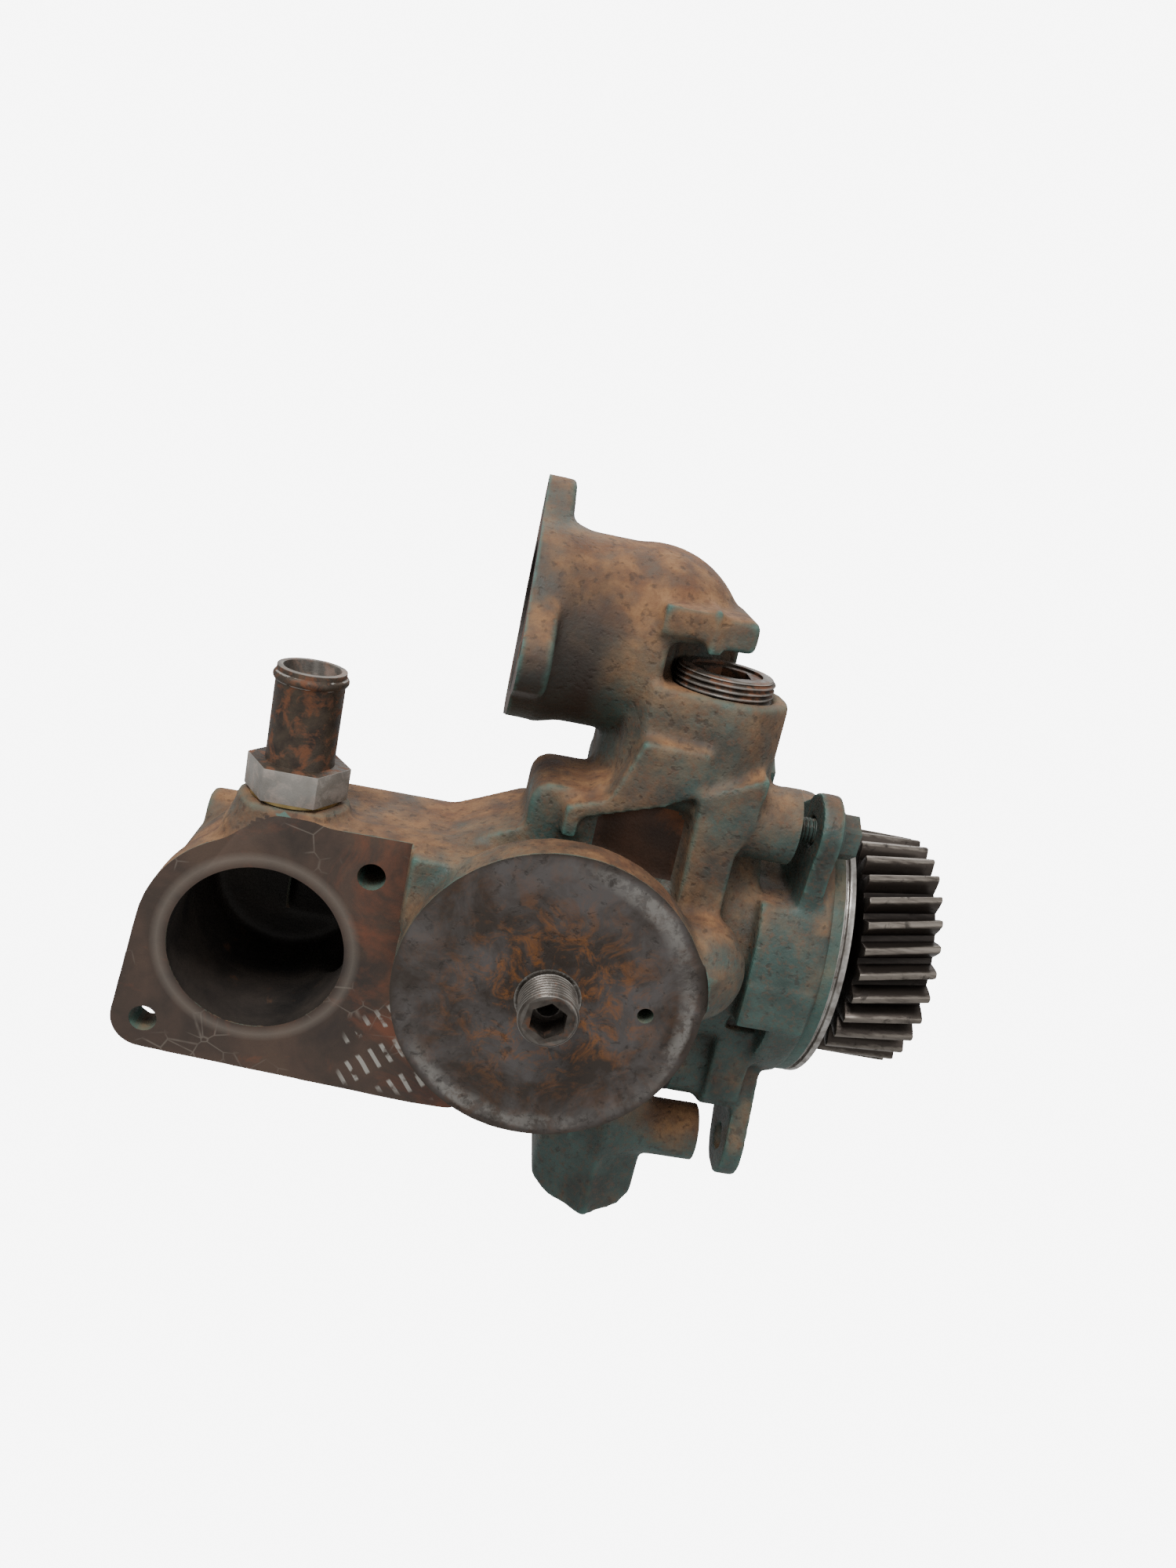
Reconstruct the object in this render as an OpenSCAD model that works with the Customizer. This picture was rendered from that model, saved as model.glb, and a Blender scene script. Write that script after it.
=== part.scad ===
// Gear-driven engine water pump: pump casting, bearing casting, shaft, seals and fittings.
// The shaft runs along X. The origin is on the shaft axis, where the register starts.

/* [Shaft] */
// Diameter of the shaft in the impeller
impeller_seat_d = 16; // [12:1:18]
// Diameter of the shaft in the bearings
bearing_seat_d = 25; // [22:1:26]
// Diameter of the shaft in the gear
gear_seat_d = 22; // [18:1:23]
// Diameter of the threaded end of the shaft
shaft_thread_d = 20; // [14:1:20]
// Radial gap between a turning piece and a fixed one
running_gap = 0.05; // [0.03:0.01:0.1]

/* [Drive gear] */
// Number of teeth
gear_teeth = 29; // [24:1:32]
// Normal module of the teeth
gear_module = 2.5; // [2.2:0.05:2.7]
// Width of the toothed rim
gear_width = 25; // [20:1:30]
// Turn of a tooth over the width, in degrees
gear_twist = 7.2; // [0:0.2:9]
// Gap between the register's end and the rim
gear_gap = 8; // [6:0.5:12]
// Depth of the recess for the nut
gear_recess = 10; // [6:1:12]
// Width and height of the key
key_size = 6; // [4:1:6]
// Thickness of the washer under the nut
gear_washer_t = 3; // [2:0.5:4]
// Height of the nut
gear_nut_h = 12; // [8:1:14]
// Width across the flats of the nut
gear_nut_af = 30; // [27:1:34]

/* [Bearings and seals] */
// Outside diameter of a bearing
bearing_d = 47; // [46:1:52]
// Width of a bearing
bearing_w = 12; // [11:1:12]
// Distance between the two bearings
bearing_space = 2; // [1:0.5:3]
// Number of balls in a bearing
ball_count = 10; // [7:1:10]
// Radius of a ball
ball_r = 3.3; // [2.8:0.1:3.3]
// Gap between a ball and its track
ball_gap = 0.2; // [0.15:0.05:0.3]
// Outside diameter of the oil seal
oil_seal_d = 37; // [35:1:40]
// Outside diameter of the water seal's cup
seal_cup_d = 33; // [31:1:36]
// Thickness of the circlip
circlip_t = 1.6; // [1.2:0.1:2]

/* [Impeller and chamber] */
// Diameter of the impeller
impeller_d = 66; // [56:1:70]
// Number of vanes
vane_count = 6; // [4:1:8]
// Thickness of a vane
vane_t = 3.5; // [2.5:0.5:4.5]
// Width of the vanes along the shaft
vane_w = 18.5; // [14:0.5:19]
// Gap between the impeller and the chamber's walls
impeller_gap = 1.5; // [1:0.5:3]
// Radius of the chamber's wall
chamber_r = 37; // [36:0.5:38]
// Radius of the eye that feeds the impeller
eye_r = 22; // [18:1:25]

/* [Seam] */
// Place of the pump casting's face along the shaft
seam_x = -35; // [-37:0.5:-34]
// Thickness of the gasket
gasket_t = 1; // [0.5:0.25:1.5]
// Radius of the flanges at the seam
seam_r = 43.5; // [42:0.5:46]
// Thickness of the bearing casting's flange
seam_flange_t = 12; // [9:0.5:13]
// Radius of the ring of cover bolts
cover_bolt_ring = 52; // [50:0.5:54]
// Angles of the cover bolts, from the rear towards the top
cover_bolt_angles = [66, 2, -62];
// Angles of the dowels
dowel_angles = [30, -32];
// Diameter of a dowel
dowel_d = 6; // [4:0.5:7]
// Diameter of the cover bolts and the ear bolt
bolt_d = 8; // [6:0.5:9]
// Gap round a bolt in a plain hole
bolt_gap = 0.5; // [0.3:0.1:0.7]
// Gap round a bolt in its thread
thread_gap = 0.05; // [0.02:0.01:0.1]

/* [Register and ears] */
// Diameter of the register
register_d = 96; // [88:0.2:104]
// Length of the register
register_len = 8; // [6:0.5:10]
// Width of the groove in the register
ring_groove_w = 1.2; // [0.8:0.2:2]
// Depth of the groove in the register
ring_groove_t = 1.4; // [0.8:0.1:2]
// Distance of the groove from the register's end
ring_groove_at = 2; // [1.5:0.1:3]
// Place of the ears' faces along the shaft
ear_face = -4; // [-6:0.5:-2]
// Thickness of the ears
ear_t = 7; // [6:0.5:8]
// Place of the upper ear's hole, across and up
top_ear = [-33.5, 48.3];
// Place of the lower ear's hole, across and up
low_ear = [-26, -70];
// Radius of the end of an ear
ear_end_r = 12.5; // [11:0.5:14]
// Distance of the upper bolt boss from its ear
top_boss_gap = 6.5; // [5:0.5:9]
// Distance of the lower bolt boss from its ear
low_boss_gap = 9; // [7:0.5:12]

/* [Inlet] */
// Centre of the inlet port, along and up
port = [-172.6, -16.8];
// Place of the inlet flange's face
inlet_face = -47; // [-52:1:-44]
// Radius of the inlet port
port_r = 26.7; // [22:0.1:28]
// Thickness of the inlet flange
inlet_flange_t = 12; // [9:0.5:14]
// Diameter of the ring of inlet bolts
inlet_pcd = 86; // [82:0.5:90]
// Angle of the inlet bolts from the horizontal
inlet_bolt_angle = 44; // [40:1:48]
// Radius of the bolt holes in both flanges
flange_hole_r = 4.25; // [3.3:0.05:5]
// Outside radius of the suction duct
duct_r = 35; // [32:0.5:37]
// Wall of the suction duct
duct_wall = 8; // [5:0.5:10]

/* [Outlet] */
// Place of the outlet flange's face along the shaft
outlet_face = -111; // [-120:1:-106]
// Centre of the outlet pipe, across and up
outlet = [-7, 92];
// Outside radius of the outlet pipe
outlet_r = 30; // [27:0.5:32]
// Inside radius of the outlet pipe
outlet_bore_r = 24; // [20:0.5:26]
// Thickness of the outlet flange
outlet_flange_t = 9.5; // [6:0.5:11]
// Diameter of the ring of outlet bolts
outlet_pcd = 74; // [68:0.5:80]
// Angle of the outlet's top bolt, from the rear towards the top
outlet_bolt_angle = 68; // [60:1:90]
// Radius of the outlet flange round a bolt
outlet_lobe_r = 9; // [8:0.5:11]
// Place of the riser along the shaft
riser_x = -57; // [-60:0.5:-55]
// Inside radius of the riser
riser_bore_r = 12; // [10:0.5:13]

/* [Filter head] */
// Centre of the filter head, along and up
head = [-84, -8];
// Place of the filter head's face
head_face = -65; // [-70:0.5:-62]
// Radius of the filter head
head_r = 46.5; // [42:0.5:48]
// Depth of the head's rim
head_rim = 13; // [9:0.5:15]
// Diameter of the stud outside the face
stud_d = 18; // [16:1:20]
// Diameter of the stud inside the casting
stud_seat_d = 20; // [18:1:22]
// Length of stud outside the face
stud_out = 12.5; // [10:0.5:16]
// Length of stud inside the casting
stud_in = 16; // [12:1:20]
// Width across the flats of the stud's socket
stud_socket = 10; // [8:1:11]
// Distance of the feed hole from the stud
feed_hole_at = 29.6; // [24:0.2:34]

/* [Nipple and plugs] */
// Place of the nipple, along and across
nipple = [-169.3, -32.5];
// Height of the nipple's seat
nipple_seat = 29.5; // [27:0.5:34]
// Outside diameter of the nipple's tube
nipple_d = 20.5; // [16:0.5:22]
// Inside diameter of the nipple
nipple_bore_d = 17; // [12:0.5:18]
// Height of the nipple above its seat
nipple_h = 40; // [32:1:50]
// Width across the flats of the nipple
nipple_af = 27; // [24:1:30]
// Height of the nipple's hexagon
nipple_hex_h = 10; // [8:0.5:14]
// Place of the plug boss, along and across
plug = [-47, -23];
// Height of the plug boss
plug_boss_top = 85.5; // [80:0.5:90]
// Radius of the plug boss
plug_boss_r = 21; // [19:0.5:22]
// Diameter of the plug
plug_d = 31; // [26:1:34]
// Length of the plug
plug_len = 14; // [12:1:20]
// Height of the plug above its boss
plug_out = 5.5; // [3:0.5:8]
// Place of the core plug, along and up
core = [-128, -11];
// Radius of the core plug
core_r = 15; // [12:0.5:16]

/* [Hidden] */
$fn = 64;

paint = [0.25, 0.38, 0.34];
iron = [0.33, 0.3, 0.27];
steel = [0.62, 0.62, 0.6];
brass = [0.5, 0.45, 0.3];
eps = 0.5; // how far a cut runs past a face

// the stack along the shaft, from the seam to the nut
bearing_face = seam_x + gasket_t;
flange_end = bearing_face + seam_flange_t;
rear_bearing_x = register_len - bearing_w;
front_bearing_x = rear_bearing_x - bearing_space - bearing_w;
seal_wall = 2;
seal_face_t = 3;
cup_wall = 1;
cup_len = 7.5;
cup_start = bearing_face + 0.5;
cup_end = cup_start + cup_len;
seal_chamber = cup_end + seal_wall;
oil_seal_x = front_bearing_x - 5.5;
bore_end = register_len + 3.5;
circlip_x = register_len + 0.2;
groove_x = register_len - ring_groove_at - ring_groove_w;
shoulder_r = register_d / 2 + 1.4;
shaft_step = seal_chamber - 1;
gear_x = register_len + gear_gap;
gear_end = gear_x + gear_width;
hub_end = gear_end - gear_recess;
nut_x = hub_end + gear_washer_t;
shaft_end = nut_x + gear_nut_h + 2;

seam_lobe = [-24, -46];

// passages of the outlet
bend_x = -76;
riser = [riser_x - 8, outlet[0] + 10];

// back of the suction duct
duct_end = 13;
duct_taper = 12;

// impeller and chamber
plate_t = 4;
seat_t = 4;
plate_x = seam_x - 3 - plate_t;
vane_x = plate_x - vane_w;
chamber_x = vane_x - impeller_gap;
shaft_start = vane_x - 3;
impeller_hub_r = impeller_seat_d / 2 + 4;

// bearings
ball_ring = (bearing_seat_d + bearing_d) / 4;
race_lip = 2.2;
cage_w = 8;

// gear teeth
cos_helix = 0.98;
pitch_r = gear_teeth * gear_module / cos_helix / 2;
tip_r = pitch_r + gear_module;
root_r = pitch_r - 1.25 * gear_module;
hub_r = bearing_seat_d / 2 + 3;

// bolt places
ear_back = ear_face - ear_t;
top_boss_end = ear_back - top_boss_gap;
low_boss_end = ear_back - low_boss_gap;
low_boss_r = 9.7;
top_boss_r = 12;
boss_thread = 22;
cover_lobe_r = bolt_d / 2 + 4.5;
cover_bolt_len = seam_flange_t + gasket_t + 15;
bolt_af = bolt_d + 5;
bolt_head_h = 7;
washer_t = 1.5;
function on_ring(r, a) = [r * cos(a), r * sin(a)];
function inlet_hole(side) = port + side * on_ring(inlet_pcd / 2, inlet_bolt_angle);

// points of an arc
function arc(c, r, from, to, n = 12) = [for (i = [0 : n]) c + on_ring(r, from + (to - from) * i / n)];

// Placing tools -------------------------------------------------------------------------

// children drawn across and up, made into a plate that starts at x
module plate_x(x, t) {
    translate([x, 0, 0]) rotate([90, 0, 90]) linear_extrude(t) children();
}

// children drawn along and up, made into a plate that starts at y
module plate_y(y, t) {
    translate([0, y + t, 0]) rotate([90, 0, 0]) linear_extrude(t) children();
}

module rod_x(x, len, r, at = [0, 0], r2 = -1) {
    translate([x, at[0], at[1]]) rotate([0, 90, 0]) cylinder(h = len, r1 = r, r2 = r2 < 0 ? r : r2);
}

module rod_y(y, len, r, at = [0, 0], r2 = -1) {
    translate([at[0], y, at[1]]) rotate([-90, 0, 0]) cylinder(h = len, r1 = r, r2 = r2 < 0 ? r : r2);
}

module rod_z(z, len, r, at = [0, 0], r2 = -1) {
    translate([at[0], at[1], z]) cylinder(h = len, r1 = r, r2 = r2 < 0 ? r : r2);
}

module box(low, high) {
    translate(low) cube(high - low);
}

module tube_x(x, len, r, bore) {
    difference() {
        rod_x(x, len, r);
        rod_x(x - eps, len + 2 * eps, bore);
    }
}

// an arm from the middle out to a round end, with its half width at the middle
module arm(to, r, root) {
    a = atan2(to[1], to[0]);
    polygon(concat(arc(to, r, a - 85, a + 85), [on_ring(root, a + 90), on_ring(root, a - 90)]));
}

// Castings ------------------------------------------------------------------------------

module seam_outline() {
    circle(seam_r);
    for (a = cover_bolt_angles) arm(on_ring(cover_bolt_ring, a), cover_lobe_r, 20);
    for (a = dowel_angles) arm(on_ring(cover_bolt_ring - 4, a), dowel_d / 2 + 4, 16);
    // lobe under the dome
    arm(seam_lobe, 9, 20);
}

module seam_holes(r_bolt, x, len) {
    for (a = cover_bolt_angles) rod_x(x, len, r_bolt, on_ring(cover_bolt_ring, a));
}

module dowel_holes(x, len, gap = 0) {
    for (a = dowel_angles) rod_x(x, len, dowel_d / 2 + gap, on_ring(cover_bolt_ring - 4, a));
}

module inlet_outline() {
    low = inlet_hole(-1);
    rim = inlet_pcd / 2 - 6.5;
    polygon(concat(
        arc(port, rim, 108, 172),
        arc(low, 10, 172, 266),
        [[-118, -62], [-104, -62], [-104, 26], [-171, 26]]));
}

module suction_duct() {
    rod_y(inlet_face + 1, duct_end - inlet_face, duct_r, port);
    rod_y(duct_end, duct_taper, duct_r - 3, port, duct_r - duct_taper - 2);
    rod_x(port[0] - 22, 28, 18, [-8, -11], duct_r - 1);
    rod_x(port[0] + 5, 90, duct_r + 1, [-8, -11]);
    box([port[0] + 3, inlet_face + 1, -40], [-90, -9, 25]);
    // ramp up to the upright block
    plate_y(-39, 40)
        polygon([[-130, 0], [-130, 23], [-122, 24.5], [-110, 30], [-100, 34.5], [-84, 36], [-84, 0]]);
    // seat of the nipple, behind the inlet flange's face
    intersection() {
        union() {
            rod_z(5, nipple_seat - 5, 17, nipple);
            rod_z(nipple_seat - 12, 8, 21, nipple, 17.2);
        }
        box([-220, inlet_face + 0.3, -10], [-130, 10, 40]);
    }
    // lug at the left rear
    rod_x(-201, 30, 9, [1, 5]);
    // seat of the core plug
    rod_y(18, 12, core_r + 4, core);
}

module filter_head() {
    rod_y(head_face, head_rim, head_r, head);
    rod_y(head_face + head_rim - 0.5, 9, head_r - 0.5, head, head_r - 7);
    rod_y(head_face + head_rim + 6, 30, head_r - 8, head);
    // lump between the head and the inlet flange
    box([-131, inlet_face - 9, 2], [-112, inlet_face + 4, 25.5]);
}

module volute() {
    rod_x(chamber_x - 9, seam_x - chamber_x + 5, chamber_r + 9);
    rod_x(chamber_x - 20, 16, eye_r + 9);
    plate_x(seam_x - 12, 12) seam_outline();
    box([-94, -38, -34], [-78, 14, 40]);
    box([-80, -38, -34], [seam_x - 1, 14, 52]);
    // shelf over the filter head
    plate_y(-45.5, 24)
        polygon([[-86.5, 41.5], [-60, 50.5], [-50, 56], [-50, 70], [-70, 70], [-77, 50], [-86.5, 47]]);
    // rib at the shelf's left end
    box([-89, -45.5, 36], [-84, -37, 46]);
    // upright block beside the riser
    plate_y(-40, 34) polygon(concat([[-79, 20], [-79, 50]], arc([-93, 43.5], 6.5, 100, 180), [[-99.5, 20]]));
    // column from the plug boss down to the dome
    plate_y(-47, 30)
        polygon([[-49.5, -6], [-50.5, 57], [-30.5, 66], [-32, 50], [seam_x - 0.3, 40], [seam_x - 0.3, -6]]);
    // dome beside the filter head
    translate([-41.5, -49, 3.2]) sphere(17.2);
    // bosses for the ear bolts
    rod_x(-49, top_boss_end + 49, top_boss_r, top_ear);
    rod_x(-64, low_boss_end + 64, low_boss_r, low_ear);
    rod_x(seam_x - 18, 15, low_boss_r + 4, low_ear, low_boss_r + 0.3);
}

module plug_boss() {
    outline = concat(arc(plug, plug_boss_r, -92, 90),
        [[-68, -2], [-74.5, -12], [-75, -33], [-70, -39.5], [-53, -41.5]]);
    translate([0, 0, 50]) linear_extrude(plug_boss_top - 50) polygon(outline);
    rod_z(34, 23, 12, plug, plug_boss_r - 0.5);
    translate([0, 0, 40]) linear_extrude(17)
        polygon([[-70, 0], [-70, -33], [-62, -38], [-40, -38], [-36.5, -20], [-36.5, 0]]);
}

module foot() {
    intersection() {
        plate_y(-38, 52)
            polygon([[-73, -30], [-74, -60], [-72, -97], [-66, -101.5], [-53, -103.5], [-41, -101],
                [-36, -95], [-35, -86], [-39, -76], [-36, -30]]);
        translate([0, 0, -110]) linear_extrude(90)
            polygon([[-74, -10], [-72, -27], [-53, -37], [-37, -30], [-34.5, -10], [-37, 12], [-70, 12]]);
    }
    // parting ridge
    box([-54.2, -37.9, -102.5], [-51.8, -20, -60]);
}

module outlet_outline() {
    lobes = outlet_pcd / 2;
    polygon([for (i = [0 : 2]) let (a = outlet_bolt_angle + 120 * i)
        for (p = arc(outlet + on_ring(lobes, a), outlet_lobe_r, a - 60, a + 60)) p]);
    translate(outlet) circle(outlet_r + 1.5);
}

module outlet_elbow() {
    turn_x = riser_x - 15;
    difference() {
        union() {
            rod_x(outlet_face + 5, turn_x - outlet_face - 5, outlet_r, outlet);
            translate([turn_x, outlet[0], outlet[1]]) sphere(outlet_r + 0.9);
        }
        // pocket that leaves the plug free
        box([-68, -45, plug_boss_top - 3], [-36, -24, 98.5]);
    }
    // upright part of the elbow, cut back beside the plug
    translate([0, 0, 15]) linear_extrude(plug_boss_top - 16) polygon(concat(
        arc([riser_x - 10, -32], 5, 200, 270, 4), arc([riser_x + 5.5, -22], 14, 270, 360),
        arc([riser_x + 5.5, 6], 14, 0, 90), arc([riser_x - 9, 6], 14, 90, 180), [[riser_x - 23, -14]]));
    box([-80, -8, plug_boss_top - 2], [-41, 20, 96]);
    plate_x(outlet_face, outlet_flange_t) outlet_outline();
    rod_x(outlet_face + outlet_flange_t - 1, 6, outlet_r + 2, outlet, outlet_r + 0.5);
    // casting pads each side of the parting ridge
    box([-72, -39.5, 100.5], [-56, -12, 109.5]);
    box([-57, -39, 97.5], [-43, -10, 109]);
    box([-57.7, -40.6, 97.2], [-55.6, -20, 110.5]);
}

module pump_passages() {
    // inlet port and suction duct
    rod_y(inlet_face - eps, duct_end - inlet_face, port_r, port);
    rod_x(port[0], 80, duct_r - duct_wall, [-6, -12]);
    rod_x(-104, chamber_x + 106, eye_r);
    // impeller chamber
    rod_x(chamber_x, seam_x - chamber_x + eps, chamber_r);
    // riser and outlet pipe
    rod_z(24, outlet[1] - 24, riser_bore_r, riser);
    rod_x(outlet_face - eps, bend_x - outlet_face + eps, outlet_bore_r, outlet);
    rod_x(bend_x - 4, riser[0] - bend_x + 5, riser_bore_r + 3, [riser[1] - 2, outlet[1] - 3]);
    // core plug
    rod_y(8, 23, core_r, core);
}

module pump_threads() {
    hole_r = bolt_d / 2 + thread_gap;
    rod_z(plug_boss_top - plug_len + plug_out - 1, plug_len + 2, plug_d / 2 + thread_gap, plug);
    rod_z(plug_boss_top - 0.4, 14, plug_d / 2 + 1.5, plug);
    rod_z(-2, nipple_seat + 2 + eps, 11 + thread_gap, nipple);
    rod_y(head_face - eps, stud_in + 2 + eps, stud_seat_d / 2 + thread_gap, head);
    rod_y(head_face + stud_in, 30, 6.5, head);
    rod_y(head_face - eps, -head_face - chamber_r + 6, 2.5, [head[0] + feed_hole_at, head[1]]);
    rod_x(top_boss_end - boss_thread, boss_thread + eps, hole_r, top_ear);
    rod_x(low_boss_end - boss_thread, boss_thread + eps, hole_r, low_ear);
    seam_holes(hole_r, seam_x - 18, 18 + eps);
    dowel_holes(seam_x - 6, 6 + eps);
    rod_y(inlet_face - eps, inlet_flange_t + 16, flange_hole_r, inlet_hole(1));
    rod_y(inlet_face - eps, inlet_flange_t + 30, flange_hole_r, inlet_hole(-1));
    for (i = [0 : 2])
        rod_x(outlet_face - eps, outlet_flange_t + 8, flange_hole_r,
            outlet + on_ring(outlet_pcd / 2, outlet_bolt_angle + 120 * i));
}

module pump_housing() {
    color(paint) difference() {
        union() {
            plate_y(inlet_face, inlet_flange_t) inlet_outline();
            suction_duct();
            filter_head();
            volute();
            plug_boss();
            foot();
            outlet_elbow();
        }
        // the cutter that faces the filter head clears the dome too
        rod_y(head_face - 20, 20, head_r + 1.2, head);
        // room for the bearing casting in front of the seam
        box([seam_x, -seam_r - 0.5, -seam_r - 1], [seam_x + 8, 60, 36]);
        rod_x(seam_x, seam_flange_t + 2, seam_r + 0.5);
        pump_passages();
        pump_threads();
    }
}

module bearing_housing() {
    color(paint) difference() {
        union() {
            plate_x(bearing_face, seam_flange_t) seam_outline();
            rod_x(flange_end - 1, 4 - flange_end, bearing_d / 2 + 8);
            // drum with a pocket over it, under the upper ear
            difference() {
                rod_x(flange_end - 1, ear_back - flange_end + 2, seam_r - 3);
                box([flange_end, -60, 25], [ear_back, 60, 60]);
                box([flange_end, -26, -60], [ear_back, 60, -25]);
            }
            // front of the drum
            intersection() {
                rod_x(flange_end - 0.5, ear_back - flange_end + 1, shoulder_r - 0.3);
                box([flange_end - 1, -60, -15], [ear_back + 1, -10, 25]);
            }
            // block on the front
            box([flange_end - 0.5, -shoulder_r - 0.6, -15], [-0.5, -30, 0]);
            // block between the flange and the lower ear
            plate_x(flange_end - 1, ear_back - flange_end + 2)
                polygon([[-37, -22], [-36, -50], [-31, -55.5], [-12, -55.5], [-8, -40]]);
            plate_x(ear_back, ear_t) union() {
                arm(top_ear, ear_end_r, 44);
                arm(low_ear, ear_end_r, 20);
            }
            rod_x(ear_back, -ear_back, shoulder_r);
            rod_x(-1, register_len + 1, register_d / 2);
            rod_x(register_len - 1, bore_end - register_len + 1, bearing_d / 2 + 5.5);
        }
        // groove for the ring seal
        difference() {
            rod_x(groove_x, ring_groove_w, register_d / 2 + eps);
            rod_x(groove_x - eps, ring_groove_w + 2 * eps, register_d / 2 - ring_groove_t);
        }
        // hollow face inside the register
        difference() {
            rod_x(3, register_len - 3 + eps, register_d / 2 - 7);
            rod_x(2, register_len, bearing_d / 2 + 5.5);
        }
        rod_x(front_bearing_x, bore_end - front_bearing_x + eps, bearing_d / 2);
        rod_x(circlip_x, circlip_t + 0.1, bearing_d / 2 + 1.3);
        rod_x(seal_chamber, front_bearing_x - seal_chamber + eps, oil_seal_d / 2);
        rod_x(cup_end - eps, seal_wall + 2 * eps, bearing_seat_d / 2 + 1);
        rod_x(bearing_face - eps, cup_end - bearing_face + eps, seal_cup_d / 2);
        // weep hole
        rod_z(-60, 50, 2.2, [seal_chamber - 0.8, 0]);
        seam_holes(bolt_d / 2 + bolt_gap, bearing_face - eps, seam_flange_t + 2 * eps);
        dowel_holes(bearing_face - eps, 6 + eps);
        for (hole = [top_ear, low_ear]) rod_x(ear_back - eps, ear_t + 2 * eps, bolt_d / 2 + bolt_gap, hole);
    }
}

module housing_gasket() {
    color([0.1, 0.1, 0.1]) difference() {
        plate_x(seam_x, gasket_t) seam_outline();
        rod_x(seam_x - eps, gasket_t + 2 * eps, chamber_r + 0.5);
        seam_holes(bolt_d / 2 + bolt_gap, seam_x - eps, gasket_t + 2 * eps);
        dowel_holes(seam_x - eps, gasket_t + 2 * eps, 0.3);
    }
}

// Fasteners -----------------------------------------------------------------------------

module hex_bolt(head_x, len, flange_t, at) {
    rod_x(head_x - len, len + 0.5, bolt_d / 2, at);
    if (flange_t > 0) rod_x(head_x, flange_t, bolt_d / 2 + 4.2, at);
    translate([head_x, at[0], at[1]]) rotate([0, 90, 0])
        cylinder(h = bolt_head_h, d = bolt_af / cos(30), $fn = 6);
}

module cover_bolts() {
    color(iron) for (a = cover_bolt_angles)
        hex_bolt(flange_end + washer_t, cover_bolt_len + washer_t, 0, on_ring(cover_bolt_ring, a));
}

module cover_washers() {
    color(steel) for (a = cover_bolt_angles) difference() {
        rod_x(flange_end, washer_t, bolt_d / 2 + 4, on_ring(cover_bolt_ring, a));
        rod_x(flange_end - eps, washer_t + 2 * eps, bolt_d / 2 + 0.3, on_ring(cover_bolt_ring, a));
    }
}

module ear_bolt() {
    color(iron) hex_bolt(ear_face, ear_t + top_boss_gap + boss_thread - 3, washer_t, top_ear);
}

module locating_dowels() {
    color(steel) dowel_holes(seam_x - 5.5, 11);
}

// Shaft and gear ------------------------------------------------------------------------

module key_box(grow) {
    box([hub_end - 19, -key_size / 2, gear_seat_d / 2 - key_size * 0.6],
        [hub_end - 3, key_size / 2, gear_seat_d / 2 + key_size * 0.4 + grow]);
}

module pump_shaft() {
    color(steel) difference() {
        union() {
            rod_x(shaft_start, shaft_step - shaft_start + 1, impeller_seat_d / 2);
            rod_x(shaft_step, register_len - shaft_step, bearing_seat_d / 2);
            rod_x(register_len - 1, hub_end - register_len + 1, gear_seat_d / 2);
            rod_x(hub_end - 1, shaft_end - hub_end, shaft_thread_d / 2);
            rod_x(shaft_end - 1, 1, shaft_thread_d / 2, [0, 0], shaft_thread_d / 2 - 1);
        }
        key_box(0);
        rod_x(shaft_end - 6, 7, 2.2);
    }
}

// one tooth space at a time: root, flank and tip points of every tooth
function tooth_ring() = [for (i = [0 : gear_teeth - 1])
    let (step = 360 / gear_teeth, a = i * step)
    for (p = [[root_r, -0.36], [pitch_r, -0.24], [tip_r - 0.3, -0.13], [tip_r, -0.09],
              [tip_r, 0.09], [tip_r - 0.3, 0.13], [pitch_r, 0.24], [root_r, 0.36]])
    on_ring(p[0], a + p[1] * step)];

module drive_gear() {
    color(iron) difference() {
        union() {
            translate([gear_x, 0, 0]) rotate([90, 0, 90])
                linear_extrude(gear_width, twist = gear_twist, slices = 5) polygon(tooth_ring());
            rod_x(register_len, gear_x - register_len + 1, hub_r);
        }
        rod_x(hub_end, gear_recess + eps, root_r - 7);
        rod_x(register_len - eps, hub_end - register_len + 2 * eps, gear_seat_d / 2);
        box([register_len - eps, -key_size / 2, 0],
            [hub_end + eps, key_size / 2, gear_seat_d / 2 + key_size * 0.45]);
    }
}

module gear_key() {
    color(steel) key_box(0);
}

module gear_washer() {
    color(steel) tube_x(hub_end, gear_washer_t, shaft_thread_d / 2 + 7.5, shaft_thread_d / 2 + 0.2);
}

module gear_nut() {
    color(steel) difference() {
        intersection() {
            translate([nut_x, 0, 0]) rotate([0, 90, 0])
                cylinder(h = gear_nut_h, d = gear_nut_af / cos(30), $fn = 6);
            rod_x(nut_x - 6, gear_nut_h + 6, gear_nut_af / 2 + 8.5, [0, 0], gear_nut_af / 2 - 0.5);
        }
        rod_x(nut_x - eps, gear_nut_h + 2 * eps, shaft_thread_d / 2 + thread_gap);
    }
}

module vane() {
    // a backward-curved blade between two arcs
    r = impeller_d / 2;
    bend = r * 0.62;
    centre = [r * 0.42, -bend * 0.8];
    intersection() {
        difference() {
            translate(centre) circle(bend + vane_t / 2);
            translate(centre) circle(bend - vane_t / 2);
        }
        polygon([[0, 0], [r * 1.2, -r * 0.2], [r * 1.2, r], [0, r]]);
        circle(r - 0.6);
    }
}

module impeller() {
    color(iron) difference() {
        union() {
            rod_x(plate_x, plate_t, impeller_d / 2);
            rod_x(vane_x - 1, plate_x - vane_x + 2, impeller_hub_r);
            for (i = [0 : vane_count - 1]) rotate([i * 360 / vane_count, 0, 0])
                plate_x(vane_x, vane_w + 1) vane();
        }
        rod_x(vane_x - 2, vane_w + plate_t + 4, impeller_seat_d / 2);
    }
}

// Seals ---------------------------------------------------------------------------------

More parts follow.
